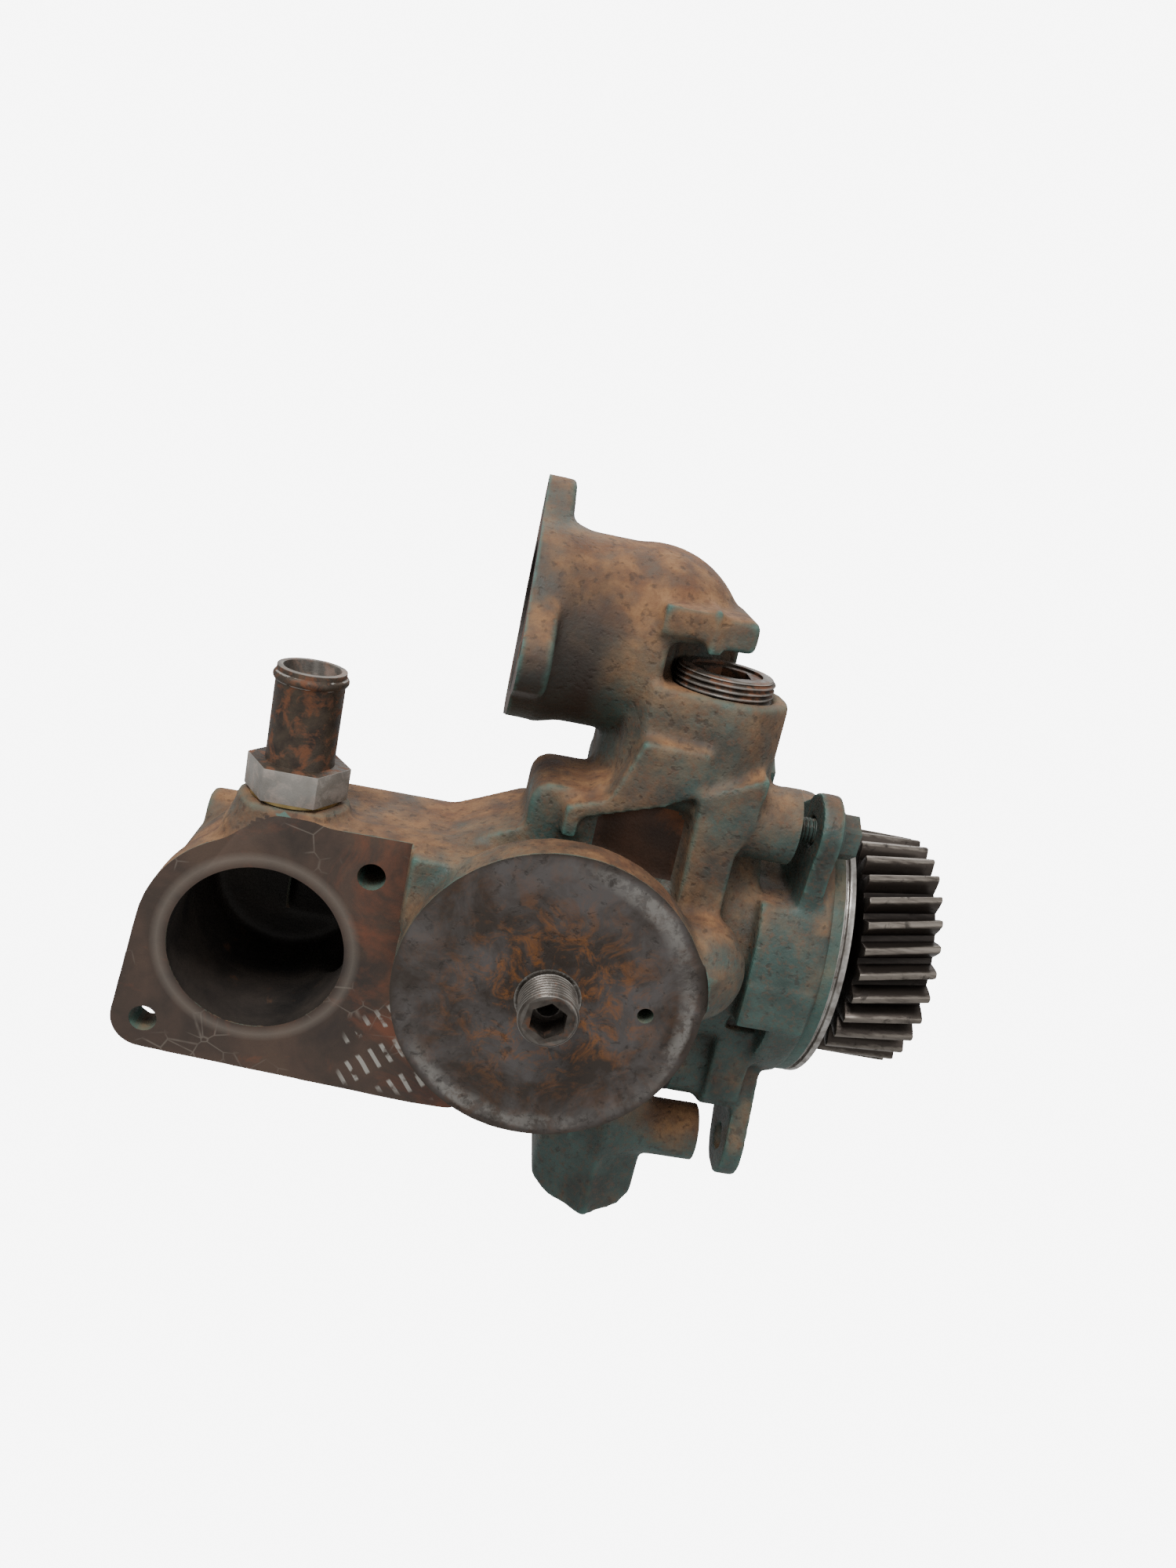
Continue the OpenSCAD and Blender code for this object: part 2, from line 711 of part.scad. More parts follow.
module seal_seat() {
    color([0.85, 0.82, 0.76]) tube_x(plate_x + plate_t, seat_t, seal_cup_d / 2 - 2, impeller_seat_d / 2);
}

module seal_face() {
    color([0.15, 0.15, 0.15])
        tube_x(plate_x + plate_t + seat_t + 0.1, seal_face_t, seal_cup_d / 2 - 3, impeller_seat_d / 2 + 1);
}

// a bellows with one fold, which presses the carbon face on its seat
module seal_bellows() {
    start = plate_x + plate_t + seat_t + seal_face_t + 0.15;
    len = cup_end - cup_wall - start - 0.05;
    inner = seal_cup_d / 2 - 5.5;
    color([0.12, 0.11, 0.1]) translate([start, 0, 0]) rotate([0, 90, 0]) rotate_extrude()
        polygon([[inner, 0], [inner + 1.2, 0], [inner + 3.6, len / 2], [inner + 1.2, len], [inner, len],
            [inner + 2.2, len / 2]]);
}

module seal_cup() {
    color(brass) difference() {
        rod_x(cup_start, cup_len, seal_cup_d / 2);
        rod_x(cup_start - eps, cup_len - cup_wall + eps, seal_cup_d / 2 - cup_wall);
        rod_x(cup_end - 2, 3, impeller_seat_d / 2 + 1);
    }
}

module oil_seal() {
    lip = bearing_seat_d / 2 + running_gap;
    rim = oil_seal_d / 2;
    color([0.2, 0.13, 0.1]) translate([oil_seal_x, 0, 0]) rotate([0, 90, 0]) rotate_extrude()
        polygon([[lip, 1.6], [lip + 0.8, 2.4], [lip + 2.4, 4], [rim - 1.2, 4], [rim - 1.2, 1], [lip + 3, 1],
            [lip + 2, 0], [rim, 0], [rim, 5], [lip + 1.6, 5], [lip, 3.4]]);
}

// Bearings ------------------------------------------------------------------------------

module ball_track(x, r) {
    translate([x + bearing_w / 2, 0, 0]) rotate([0, 90, 0])
        rotate_extrude() translate([ball_ring, 0]) circle(r);
}

module bearing_outer(x) {
    color(steel) difference() {
        tube_x(x, bearing_w, bearing_d / 2, ball_ring + race_lip);
        ball_track(x, ball_r + ball_gap);
    }
}

module bearing_inner(x) {
    color(steel) difference() {
        tube_x(x, bearing_w, ball_ring - race_lip, bearing_seat_d / 2);
        ball_track(x, ball_r + ball_gap);
    }
}

module ball_set(x, r) {
    for (i = [0 : ball_count - 1]) rotate([i * 360 / ball_count, 0, 0])
        translate([x + bearing_w / 2, ball_ring, 0]) sphere(r, $fn = 32);
}

module bearing_cage(x) {
    color(brass) difference() {
        tube_x(x + (bearing_w - cage_w) / 2, cage_w, ball_ring + race_lip - 0.8, ball_ring - race_lip + 0.8);
        for (i = [0 : ball_count - 1]) rotate([i * 360 / ball_count, 0, 0])
            rod_y(ball_ring - 4, 8, ball_r + 0.1, [x + bearing_w / 2, 0]);
    }
}

module front_bearing_outer() bearing_outer(front_bearing_x);
module front_bearing_inner() bearing_inner(front_bearing_x);
module front_bearing_balls() color(steel) ball_set(front_bearing_x, ball_r);
module front_bearing_cage() bearing_cage(front_bearing_x);
module rear_bearing_outer() bearing_outer(rear_bearing_x);
module rear_bearing_inner() bearing_inner(rear_bearing_x);
module rear_bearing_balls() color(steel) ball_set(rear_bearing_x, ball_r);
module rear_bearing_cage() bearing_cage(rear_bearing_x);

module outer_spacer() {
    color(steel) tube_x(rear_bearing_x - bearing_space, bearing_space, bearing_d / 2, ball_ring + race_lip);
}

module inner_spacer() {
    color(steel)
        tube_x(rear_bearing_x - bearing_space, bearing_space, ball_ring - race_lip, bearing_seat_d / 2);
}

module circlip() {
    color(iron) difference() {
        tube_x(circlip_x, circlip_t, bearing_d / 2 + 1.2, bearing_d / 2 - 2);
        box([circlip_x - eps, -4, 0], [circlip_x + circlip_t + eps, 4, bearing_d]);
    }
}

// Fittings ------------------------------------------------------------------------------

module filter_stud() {
    color(iron) difference() {
        union() {
            rod_y(head_face - stud_out, stud_out + 1, stud_d / 2, head);
            rod_y(head_face, stud_in, stud_seat_d / 2, head);
        }
        translate([head[0], head_face - stud_out - eps, head[1]]) rotate([-90, 0, 0])
            cylinder(h = 9 + eps, d = stud_socket / cos(30), $fn = 6);
        rod_y(head_face - stud_out, stud_out + stud_in + eps, 3.5, head);
    }
}

module hose_nipple() {
    seat = nipple_seat + 1;
    color(brass) difference() {
        union() {
            translate([nipple[0], nipple[1], seat])
                cylinder(h = nipple_hex_h, d = nipple_af / cos(30), $fn = 6);
            rod_z(seat, nipple_h - 1, nipple_d / 2, nipple);
            rod_z(seat - 14, 15, 11, nipple);
            // bead at the mouth
            translate([nipple[0], nipple[1], nipple_seat + nipple_h - 3]) rotate_extrude()
                translate([nipple_d / 2 - 0.6, 0]) circle(1.5, $fn = 24);
        }
        rod_z(seat - 15, nipple_h + 20, nipple_bore_d / 2, nipple);
    }
}

module nipple_washer() {
    color(brass) difference() {
        rod_z(nipple_seat, 1, 13.4, nipple);
        rod_z(nipple_seat - eps, 1 + 2 * eps, 11 + 0.1, nipple);
    }
}

module top_plug() {
    top = plug_boss_top + plug_out;
    color(iron) difference() {
        union() {
            rod_z(top - plug_len, plug_len - 1.2, plug_d / 2, plug);
            rod_z(top - 1.2, 1.2, plug_d / 2, plug, plug_d / 2 - 1.2);
        }
        translate([plug[0], plug[1], top - 9]) cylinder(h = 9 + eps, d = 14 / cos(30), $fn = 6);
    }
}

module core_plug() {
    color(steel) difference() {
        rod_y(23, 5.5, core_r, core);
        rod_y(24.5, 5, core_r - 1.4, core);
    }
}

pump_housing();
bearing_housing();
housing_gasket();
cover_bolts();
cover_washers();
ear_bolt();
locating_dowels();
pump_shaft();
drive_gear();
gear_key();
gear_washer();
gear_nut();
impeller();
seal_seat();
seal_face();
seal_bellows();
seal_cup();
oil_seal();
front_bearing_outer();
front_bearing_inner();
front_bearing_balls();
front_bearing_cage();
rear_bearing_outer();
rear_bearing_inner();
rear_bearing_balls();
rear_bearing_cage();
outer_spacer();
inner_spacer();
circlip();
filter_stud();
hose_nipple();
nipple_washer();
top_plug();
core_plug();
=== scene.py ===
import math

import bpy
from mathutils import Matrix, Vector


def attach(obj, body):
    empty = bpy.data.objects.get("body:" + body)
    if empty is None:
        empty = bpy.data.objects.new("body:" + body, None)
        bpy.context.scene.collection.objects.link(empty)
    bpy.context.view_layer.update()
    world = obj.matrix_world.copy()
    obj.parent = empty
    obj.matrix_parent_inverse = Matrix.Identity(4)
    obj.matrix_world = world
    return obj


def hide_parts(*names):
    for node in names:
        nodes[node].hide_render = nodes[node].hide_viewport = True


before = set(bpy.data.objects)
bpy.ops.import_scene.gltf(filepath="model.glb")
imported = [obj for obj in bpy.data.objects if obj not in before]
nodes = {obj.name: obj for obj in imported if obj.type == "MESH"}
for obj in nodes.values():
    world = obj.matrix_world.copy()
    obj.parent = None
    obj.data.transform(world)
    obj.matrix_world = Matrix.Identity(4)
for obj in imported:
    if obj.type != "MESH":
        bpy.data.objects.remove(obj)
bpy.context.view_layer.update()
print("frame loaded:", len(nodes), "nodes")


# small workshop helpers
def deselectAll():
    if bpy.context.object and bpy.context.object.mode != "OBJECT":
        bpy.ops.object.mode_set(mode="OBJECT")
    bpy.ops.object.select_all(action="DESELECT")


def pick(piece):
    deselectAll()
    piece.select_set(True)
    bpy.context.view_layer.objects.active = piece


def applyModifier(piece, kind, **settings):
    pick(piece)
    modifier = piece.modifiers.new(kind.lower(), kind)
    for key, value in settings.items():
        setattr(modifier, key, value)
    bpy.ops.object.modifier_apply(modifier=modifier.name)


def placeInMesh(piece):
    pick(piece)
    bpy.ops.object.transform_apply(location=True, rotation=True, scale=True)


def copyOf(node, name):  # a copy of a CAD node's mesh with its loose triangles merged
    piece = nodes[node].copy()
    piece.data = nodes[node].data.copy()
    piece.name = name
    piece.data.name = name
    for key in list(piece.keys()):
        del piece[key]
    piece.parent = None
    bpy.context.scene.collection.objects.link(piece)
    piece.data.materials.clear()
    pick(piece)
    bpy.ops.object.mode_set(mode="EDIT")
    bpy.ops.mesh.select_all(action="SELECT")
    bpy.ops.mesh.remove_doubles(threshold=0.000012)
    bpy.ops.mesh.customdata_custom_splitnormals_clear()
    bpy.ops.object.mode_set(mode="OBJECT")
    return piece


def pushFace(piece, axis, place, amount, keep=lambda p: True):  # stock left on a face that is machined later
    pick(piece)
    bpy.ops.object.mode_set(mode="EDIT")
    bpy.ops.mesh.select_mode(type="VERT")
    bpy.ops.mesh.select_all(action="DESELECT")
    bpy.ops.object.mode_set(mode="OBJECT")
    for vertex in piece.data.vertices:
        vertex.select = abs(vertex.co[axis] - place) < 2e-5 and keep(vertex.co)
    bpy.ops.object.mode_set(mode="EDIT")
    move = [0, 0, 0]
    move[axis] = amount
    bpy.ops.transform.translate(value=move)
    bpy.ops.object.mode_set(mode="OBJECT")


def block(name, low, high):
    deselectAll()
    middle = [(a + b) / 2 for a, b in zip(low, high)]
    bpy.ops.mesh.primitive_cube_add(size=1, location=middle)
    piece = bpy.context.object
    piece.name = name
    piece.scale = [b - a for a, b in zip(low, high)]
    placeInMesh(piece)
    return piece


turns = {"x": (0, math.pi / 2, 0), "y": (-math.pi / 2, 0, 0), "z": (0, 0, 0)}


def rod(name, axis, start, end, radius, vertices=96):  # start is a point, end the place along the axis
    deselectAll()
    along = "xyz".index(axis)
    middle = list(start)
    middle[along] = (start[along] + end) / 2
    bpy.ops.mesh.primitive_cylinder_add(vertices=vertices, radius=radius, depth=abs(end - start[along]),
                                        location=middle, rotation=turns[axis])
    piece = bpy.context.object
    piece.name = name
    placeInMesh(piece)
    return piece


def combine(piece, tool, operation="DIFFERENCE"):
    before = len(piece.data.vertices)
    applyModifier(piece, "BOOLEAN", operation=operation, object=tool, solver="MANIFOLD")
    if len(piece.data.vertices) == before:
        print("  no change from", tool.name, "on", piece.name)
    bpy.data.objects.remove(tool)


def joinInto(piece, others):
    pick(piece)
    for other in others:
        other.select_set(True)
    bpy.ops.object.join()
    return piece


def smoothByAngle(piece, degrees=35):
    pick(piece)
    bpy.ops.object.shade_smooth_by_angle(angle=math.radians(degrees))


def breakEdges(piece, width, degrees):  # a small bevel on every edge sharper than the angle
    applyModifier(piece, "BEVEL", width=width, segments=2, limit_method="ANGLE", angle_limit=math.radians(degrees))


def limitTriangles(piece, most):
    triangles = sum(len(p.vertices) - 2 for p in piece.data.polygons)
    if triangles > most:
        applyModifier(piece, "DECIMATE", ratio=most / triangles)
    print("  ", piece.name, sum(len(p.vertices) - 2 for p in piece.data.polygons), "triangles")


# material helpers
def put(tree, kind, settings=None, **inputs):
    n = tree.nodes.new("ShaderNode" + kind)
    for key, value in (settings or {}).items():
        setattr(n, key, value)
    for key, value in inputs.items():
        socket = n.inputs[int(key[1:])] if key[1:].isdigit() else n.inputs[key.replace("_", " ")]
        if isinstance(value, bpy.types.NodeSocket):
            tree.links.new(value, socket)
        else:
            socket.default_value = value
    return n


def calc(tree, operation, a, b=0.0, clamp=False):
    return put(tree, "Math", {"operation": operation, "use_clamp": clamp}, i0=a, i1=b).outputs[0]


def times(tree, a, b, clamp=False):
    return calc(tree, "MULTIPLY", a, b, clamp)


def plus(tree, a, b, clamp=False):
    return calc(tree, "ADD", a, b, clamp)


def minus(tree, a, b, clamp=False):
    return calc(tree, "SUBTRACT", a, b, clamp)


def spread(tree, value, low, high):  # spreads a 0 to 1 value between two numbers
    return put(tree, "MapRange", Value=value, i3=low, i4=high).outputs[0]


def ramp(tree, value, stops):  # stops are (place, grey or colour)
    n = put(tree, "ValToRGB", Fac=value)
    cells = n.color_ramp.elements
    while len(cells) < len(stops):
        cells.new(0.5)
    for cell, (place, colour) in zip(cells, stops):
        cell.position = place
        cell.color = (*colour, 1) if isinstance(colour, tuple) else (colour, colour, colour, 1)
    return n.outputs[0]


def blendColour(tree, factor, first, second, how="MIX"):
    n = tree.nodes.new("ShaderNodeMix")
    n.data_type = "RGBA"
    n.blend_type = how
    for socket, value in ((n.inputs[0], factor), (n.inputs[6], first), (n.inputs[7], second)):
        if isinstance(value, bpy.types.NodeSocket):
            tree.links.new(value, socket)
        else:
            socket.default_value = (*value, 1) if isinstance(value, tuple) else value
    return n.outputs[2]


def noise(tree, coords, scale, detail=4.0, rough=0.55, warp=0.0):
    return put(tree, "TexNoise", Vector=coords, Scale=scale, Detail=detail, Roughness=rough,
               Distortion=warp).outputs[0]


def scaledBy(tree, vector, factor):
    return put(tree, "VectorMath", {"operation": "SCALE"}, i0=vector, Scale=factor).outputs[0]


def distanceFrom(tree, vector, point):
    return put(tree, "VectorMath", {"operation": "DISTANCE"}, i0=vector, i1=point).outputs[1]


def newGroup(name, ins, outs):
    group = bpy.data.node_groups.new(name, "ShaderNodeTree")
    for title, kind, value in ins:
        socket = group.interface.new_socket(name=title, in_out="INPUT", socket_type=kind)
        if value is not None:
            socket.default_value = value
    for title, kind in outs:
        group.interface.new_socket(name=title, in_out="OUTPUT", socket_type=kind)
    return group, group.nodes.new("NodeGroupInput"), group.nodes.new("NodeGroupOutput")


def startMaterial(name):
    material = bpy.data.materials.new(name)
    material.use_nodes = True
    tree = material.node_tree
    tree.nodes.clear()
    shader = tree.nodes.new("ShaderNodeBsdfPrincipled")
    out = tree.nodes.new("ShaderNodeOutputMaterial")
    tree.links.new(shader.outputs[0], out.inputs[0])
    coords = tree.nodes.new("ShaderNodeTexCoord")
    return material, tree, shader, coords


def useGroup(tree, group, **inputs):
    n = tree.nodes.new("ShaderNodeGroup")
    n.node_tree = group
    for key, value in inputs.items():
        socket = n.inputs[key.replace("_", " ")]
        if isinstance(value, bpy.types.NodeSocket):
            tree.links.new(value, socket)
        else:
            socket.default_value = value
    return n


def bump(tree, shader, height, strength, distance):
    n = put(tree, "Bump", Strength=strength, Distance=distance, Height=height)
    tree.links.new(n.outputs[0], shader.inputs["Normal"])


# rough sand-cast skin: large swells, grains and pinholes
def makeCastGrain():
    group, given, result = newGroup("castGrain",
                                    [("Vector", "NodeSocketVector", None), ("Size", "NodeSocketFloat", 1.0)],
                                    [("Height", "NodeSocketFloat"), ("Pits", "NodeSocketFloat")])
    scaled = scaledBy(group, given.outputs[0], given.outputs[1])
    swell = noise(group, scaled, 130, 3, 0.5)
    grain = noise(group, scaled, 780, 4, 0.62)
    pits = ramp(group, noise(group, scaled, 420, 2, 0.5), [(0.3, 0.0), (0.42, 1.0)])
    height = plus(group, times(group, swell, 0.9), times(group, grain, 0.5))
    height = plus(group, height, times(group, pits, 0.25))
    group.links.new(height, result.inputs[0])
    group.links.new(pits, result.inputs[1])
    return group


# how much dust and rust lies on a place: heavier on what faces up, broken up by patches
def makeDust():
    group, given, result = newGroup("dustLayer",
                                    [("Vector", "NodeSocketVector", None), ("Normal", "NodeSocketVector", None),
                                     ("Amount", "NodeSocketFloat", 0.5), ("Upward", "NodeSocketFloat", 0.5),
                                     ("Patch size", "NodeSocketFloat", 1.0)],
                                    [("Mask", "NodeSocketFloat"), ("Shade", "NodeSocketFloat")])
    up = put(group, "SeparateXYZ", i0=given.outputs[1]).outputs[2]
    scaled = scaledBy(group, given.outputs[0], given.outputs[4])
    patches = noise(group, scaled, 24, 6, 0.62, 0.4)
    streaks = noise(group, scaled, 95, 5, 0.6, 0.2)
    value = plus(group, times(group, up, given.outputs[3]), given.outputs[2])
    value = plus(group, value, times(group, minus(group, patches, 0.5), 2.2))
    value = plus(group, value, times(group, minus(group, streaks, 0.5), 1.0))
    group.links.new(ramp(group, value, [(0.15, 0.0), (0.95, 1.0)]), result.inputs[0])
    group.links.new(streaks, result.inputs[1])
    return group


# worn edges and painted shade in hollows, from how sharp the surface is
def makeEdgeWearAndShade():
    group, given, result = newGroup("edgeWearAndShade",
                                    [("Vector", "NodeSocketVector", None), ("Spread", "NodeSocketFloat", 1.0)],
                                    [("Edges", "NodeSocketFloat"), ("ShadeInHollows", "NodeSocketFloat")])
    sharp = group.nodes.new("ShaderNodeNewGeometry").outputs["Pointiness"]
    rough = times(group, minus(group, noise(group, given.outputs[0], 150, 4), 0.5), 0.05)
    value = plus(group, times(group, minus(group, sharp, 0.5), given.outputs[1]), rough)
    group.links.new(ramp(group, plus(group, value, 0.5), [(0.525, 0.0), (0.58, 1.0)]), result.inputs[0])
    # the second output marks concave hollows for painted shade
    group.links.new(ramp(group, plus(group, value, 0.5), [(0.42, 1.0), (0.485, 0.0)]), result.inputs[1])
    return group


castGrain = makeCastGrain()
dustLayer = makeDust()
edgeWearAndShade = makeEdgeWearAndShade()


def paintedCasting(name, look):
    material, tree, shader, coords = startMaterial(name)
    at, normal = coords.outputs["Object"], coords.outputs["Normal"]
    grain = useGroup(tree, castGrain, Vector=at, Size=look["grainSize"])
    dust = useGroup(tree, dustLayer, Vector=at, Normal=normal, Amount=look["dust"], Upward=look["upward"],
                    Patch_size=1.0)
    wearAndShade = useGroup(tree, edgeWearAndShade, Vector=at, Spread=look["wearSpread"])
    shade = noise(tree, at, 60, 5, 0.6)
    paint = blendColour(tree, ramp(tree, shade, [(0.35, 0.0), (0.65, 1.0)]), look["paintDark"], look["paint"])
    tan = ramp(tree, dust.outputs["Shade"], [(0.38, 0.0), (0.62, 1.0)])
    tan = blendColour(tree, tan, look["rust"], look["sand"])
    colour = blendColour(tree, dust.outputs["Mask"], paint, tan)
    brown = ramp(tree, noise(tree, at, 34, 6, 0.65, 0.6), [(0.5, 0.0), (0.68, 1.0)])
    colour = blendColour(tree, times(tree, brown, look["brown"]), colour, look["dark"])
    flecks = ramp(tree, noise(tree, at, 520, 4, 0.7), [(0.50, 0.0), (0.66, 1.0)])
    colour = blendColour(tree, times(tree, flecks, 0.45), colour, look["rust"])
    colour = blendColour(tree, times(tree, minus(tree, 1.0, grain.outputs["Pits"]), 0.5), colour, look["dark"])
    if "shadedSide" in look:  # painted shade: the pipe's sides and undersides, turned away from the light above, are darkened nearly to black-brown
        startX, sideEdge, startZ = look["shadedSide"]
        place = put(tree, "SeparateXYZ", i0=at)
        side = times(tree, minus(tree, startX, place.outputs[0]), sideEdge, True)
        high = times(tree, minus(tree, place.outputs[2], startZ), 60.0, True)
        upward = put(tree, "SeparateXYZ", i0=normal).outputs[2]
        facing = minus(tree, 1.0, ramp(tree, upward, [(0.2, 0.0), (0.9, 1.0)]))
        # painted shade mask: one side of the pipe, above a height, on faces not turned up
        sideShade = times(tree, times(tree, side, high), facing)
        sideShade = times(tree, sideShade, ramp(tree, shade, [(0.3, 0.55), (0.6, 1.0)]))
        colour = blendColour(tree, sideShade, colour, look["dark"])
    colour = blendColour(tree, times(tree, wearAndShade.outputs["Edges"], look["edgePaint"]), colour, look["paintBright"])
    # painted shade: hollows and creases are darkened with the dark colour
    colour = blendColour(tree, times(tree, wearAndShade.outputs["ShadeInHollows"], look["hollowShade"]), colour, look["dark"])
    tree.links.new(colour, shader.inputs["Base Color"])
    roughness = spread(tree, dust.outputs["Mask"], 0.55, 0.85)
    tree.links.new(roughness, shader.inputs["Roughness"])
    bump(tree, shader, grain.outputs["Height"], look["grainDepth"], 0.0006)
    return material


def mottledMetal(name, look):  # bare or rusty metal: two tones, rust patches and a fine grain
    material, tree, shader, coords = startMaterial(name)
    at = coords.outputs["Object"]
    tone = ramp(tree, noise(tree, at, look["toneScale"], 5, 0.6, 0.3), [(0.35, 0.0), (0.65, 1.0)])
    colour = blendColour(tree, tone, look["dark"], look["light"])
    spots = ramp(tree, noise(tree, at, look["spotScale"], 6, 0.65, 0.5),
                 [(look["spotFrom"], 0.0), (look["spotFrom"] + 0.12, 1.0)])
    colour = blendColour(tree, spots, colour, look["spots"])
    if "edge" in look:
        wearAndShade = useGroup(tree, edgeWearAndShade, Vector=at, Spread=1.2)
        colour = blendColour(tree, times(tree, wearAndShade.outputs["Edges"], 0.8), colour, look["edge"])
    tree.links.new(colour, shader.inputs["Base Color"])
    roughness = spread(tree, spots, look["rough"], min(0.95, look["rough"] + 0.3))
    tree.links.new(roughness, shader.inputs["Roughness"])
    tree.links.new(spread(tree, spots, look["metallic"], look["metallic"] * 0.3),
                   shader.inputs["Metallic"])
    bump(tree, shader, noise(tree, at, look["grainScale"], 4, 0.65), look["grain"], 0.0004)
    return material


pumpPaintLook = {
    "paint": (0.052, 0.088, 0.076), "paintDark": (0.024, 0.040, 0.034),
    "paintBright": (0.050, 0.125, 0.105), "sand": (0.225, 0.118, 0.052),
    "rust": (0.120, 0.050, 0.022), "dark": (0.026, 0.016, 0.011),
    "dust": 0.40, "upward": 0.38, "wearSpread": 1.3, "edgePaint": 0.75, "hollowShade": 0.9, "brown": 0.6,
    "grainSize": 1.0, "grainDepth": 0.85, "shadedSide": (-0.078, 90.0, 0.055)}
bearingPaintLook = dict(pumpPaintLook, dust=0.14, upward=0.55, brown=0.7)
del bearingPaintLook["shadedSide"]
pumpPaint = paintedCasting("pumpPaint", pumpPaintLook)
bearingPaint = paintedCasting("bearingPaint", bearingPaintLook)
darkBore = mottledMetal("darkBore", {
    "dark": (0.012, 0.010, 0.009), "light": (0.045, 0.035, 0.028), "spots": (0.10, 0.045, 0.02),
    "toneScale": 40, "spotScale": 60, "spotFrom": 0.62, "rough": 0.6, "metallic": 0.1,
    "grainScale": 700, "grain": 0.5})
rustyFace = mottledMetal("rustyFace", {
    "dark": (0.030, 0.016, 0.010), "light": (0.070, 0.032, 0.018), "spots": (0.125, 0.048, 0.020),
    "toneScale": 50, "spotScale": 38, "spotFrom": 0.52, "rough": 0.5, "metallic": 0.3,
    "grainScale": 900, "grain": 0.35})
registerSteel = mottledMetal("registerSteel", {
    "dark": (0.22, 0.20, 0.18), "light": (0.50, 0.48, 0.45), "spots": (0.10, 0.07, 0.05),
    "toneScale": 260, "spotScale": 420, "spotFrom": 0.60, "rough": 0.32, "metallic": 0.85,
    "grainScale": 1500, "grain": 0.2})
print("casting materials ready")


def machinedFlange():
    look = {"dark": (0.030, 0.020, 0.015), "brown": (0.070, 0.042, 0.028), "red": (0.17, 0.055, 0.025),
            "scratch": (0.42, 0.40, 0.36), "crack": (0.20, 0.17, 0.14),
            "portCentre": (-0.1726, -0.047, -0.0168), "ringRadius": 0.0295}
    material, tree, shader, coords = startMaterial("machinedFlange")
    at = coords.outputs["Object"]
    place = put(tree, "SeparateXYZ", i0=at)
    x, z = place.outputs[0], place.outputs[2]
    tone = ramp(tree, noise(tree, at, 45, 6, 0.6, 0.4), [(0.35, 0.0), (0.65, 1.0)])
    colour = blendColour(tree, tone, look["dark"], look["brown"])
    towardsDisc = times(tree, plus(tree, x, 0.150), 22.0, True)
    red = plus(tree, times(tree, towardsDisc, 0.22), noise(tree, at, 34, 7, 0.66, 0.8))
    red = ramp(tree, red, [(0.56, 0.0), (0.74, 1.0)])
    colour = blendColour(tree, times(tree, red, 0.8), colour, look["red"])
    # pale diagonal scratches beside the filter head
    turned = put(tree, "Mapping", Vector=at, Rotation=(0, math.radians(38), 0)).outputs[0]
    stripes = put(tree, "TexWave", {"bands_direction": "X"}, Vector=turned, Scale=72.0,
                  Distortion=1.3, Detail=1.0).outputs[1]
    across = put(tree, "TexWave", {"bands_direction": "Z"}, Vector=turned, Scale=26.0,
                 Distortion=1.2, Detail=1.0).outputs[1]
    lines = times(tree, ramp(tree, stripes, [(0.72, 0.0), (0.84, 1.0)]),
                  ramp(tree, across, [(0.3, 0.0), (0.5, 1.0)]))
    inX = times(tree, plus(tree, x, 0.143), 300.0, True)
    slope = plus(tree, times(tree, x, 1.1), 0.118)  # the scratches rise to the right
    below = times(tree, minus(tree, slope, z), 160.0, True)
    above = times(tree, plus(tree, z, 0.060), 300.0, True)
    lines = times(tree, times(tree, lines, inX), times(tree, below, above))
    lines = times(tree, lines, ramp(tree, noise(tree, at, 170, 3), [(0.4, 0.0), (0.5, 1.0)]))
    colour = blendColour(tree, lines, colour, look["scratch"])
    # a paler worn ring round the port
    fromRing = minus(tree, distanceFrom(tree, at, look["portCentre"]), look["ringRadius"])
    ring = minus(tree, 1.0, times(tree, calc(tree, "ABSOLUTE", fromRing), 420.0), True)
    colour = blendColour(tree, times(tree, ring, 0.4), colour, look["crack"])
    # fine cracks in the old sealant
    cells = put(tree, "TexVoronoi", {"feature": "DISTANCE_TO_EDGE"}, Vector=at, Scale=130.0).outputs[0]
    cracks = times(tree, ramp(tree, cells, [(0.0, 1.0), (0.035, 0.0)]),
                   ramp(tree, noise(tree, at, 40, 3), [(0.55, 0.0), (0.62, 1.0)]))
    colour = blendColour(tree, times(tree, cracks, 0.5), colour, look["crack"])
    tree.links.new(colour, shader.inputs["Base Color"])
    tree.links.new(spread(tree, tone, 0.42, 0.62), shader.inputs["Roughness"])
    tree.links.new(times(tree, lines, 0.7), shader.inputs["Metallic"])
    bump(tree, shader, noise(tree, at, 500, 5, 0.6), 0.3, 0.0004)
    return material


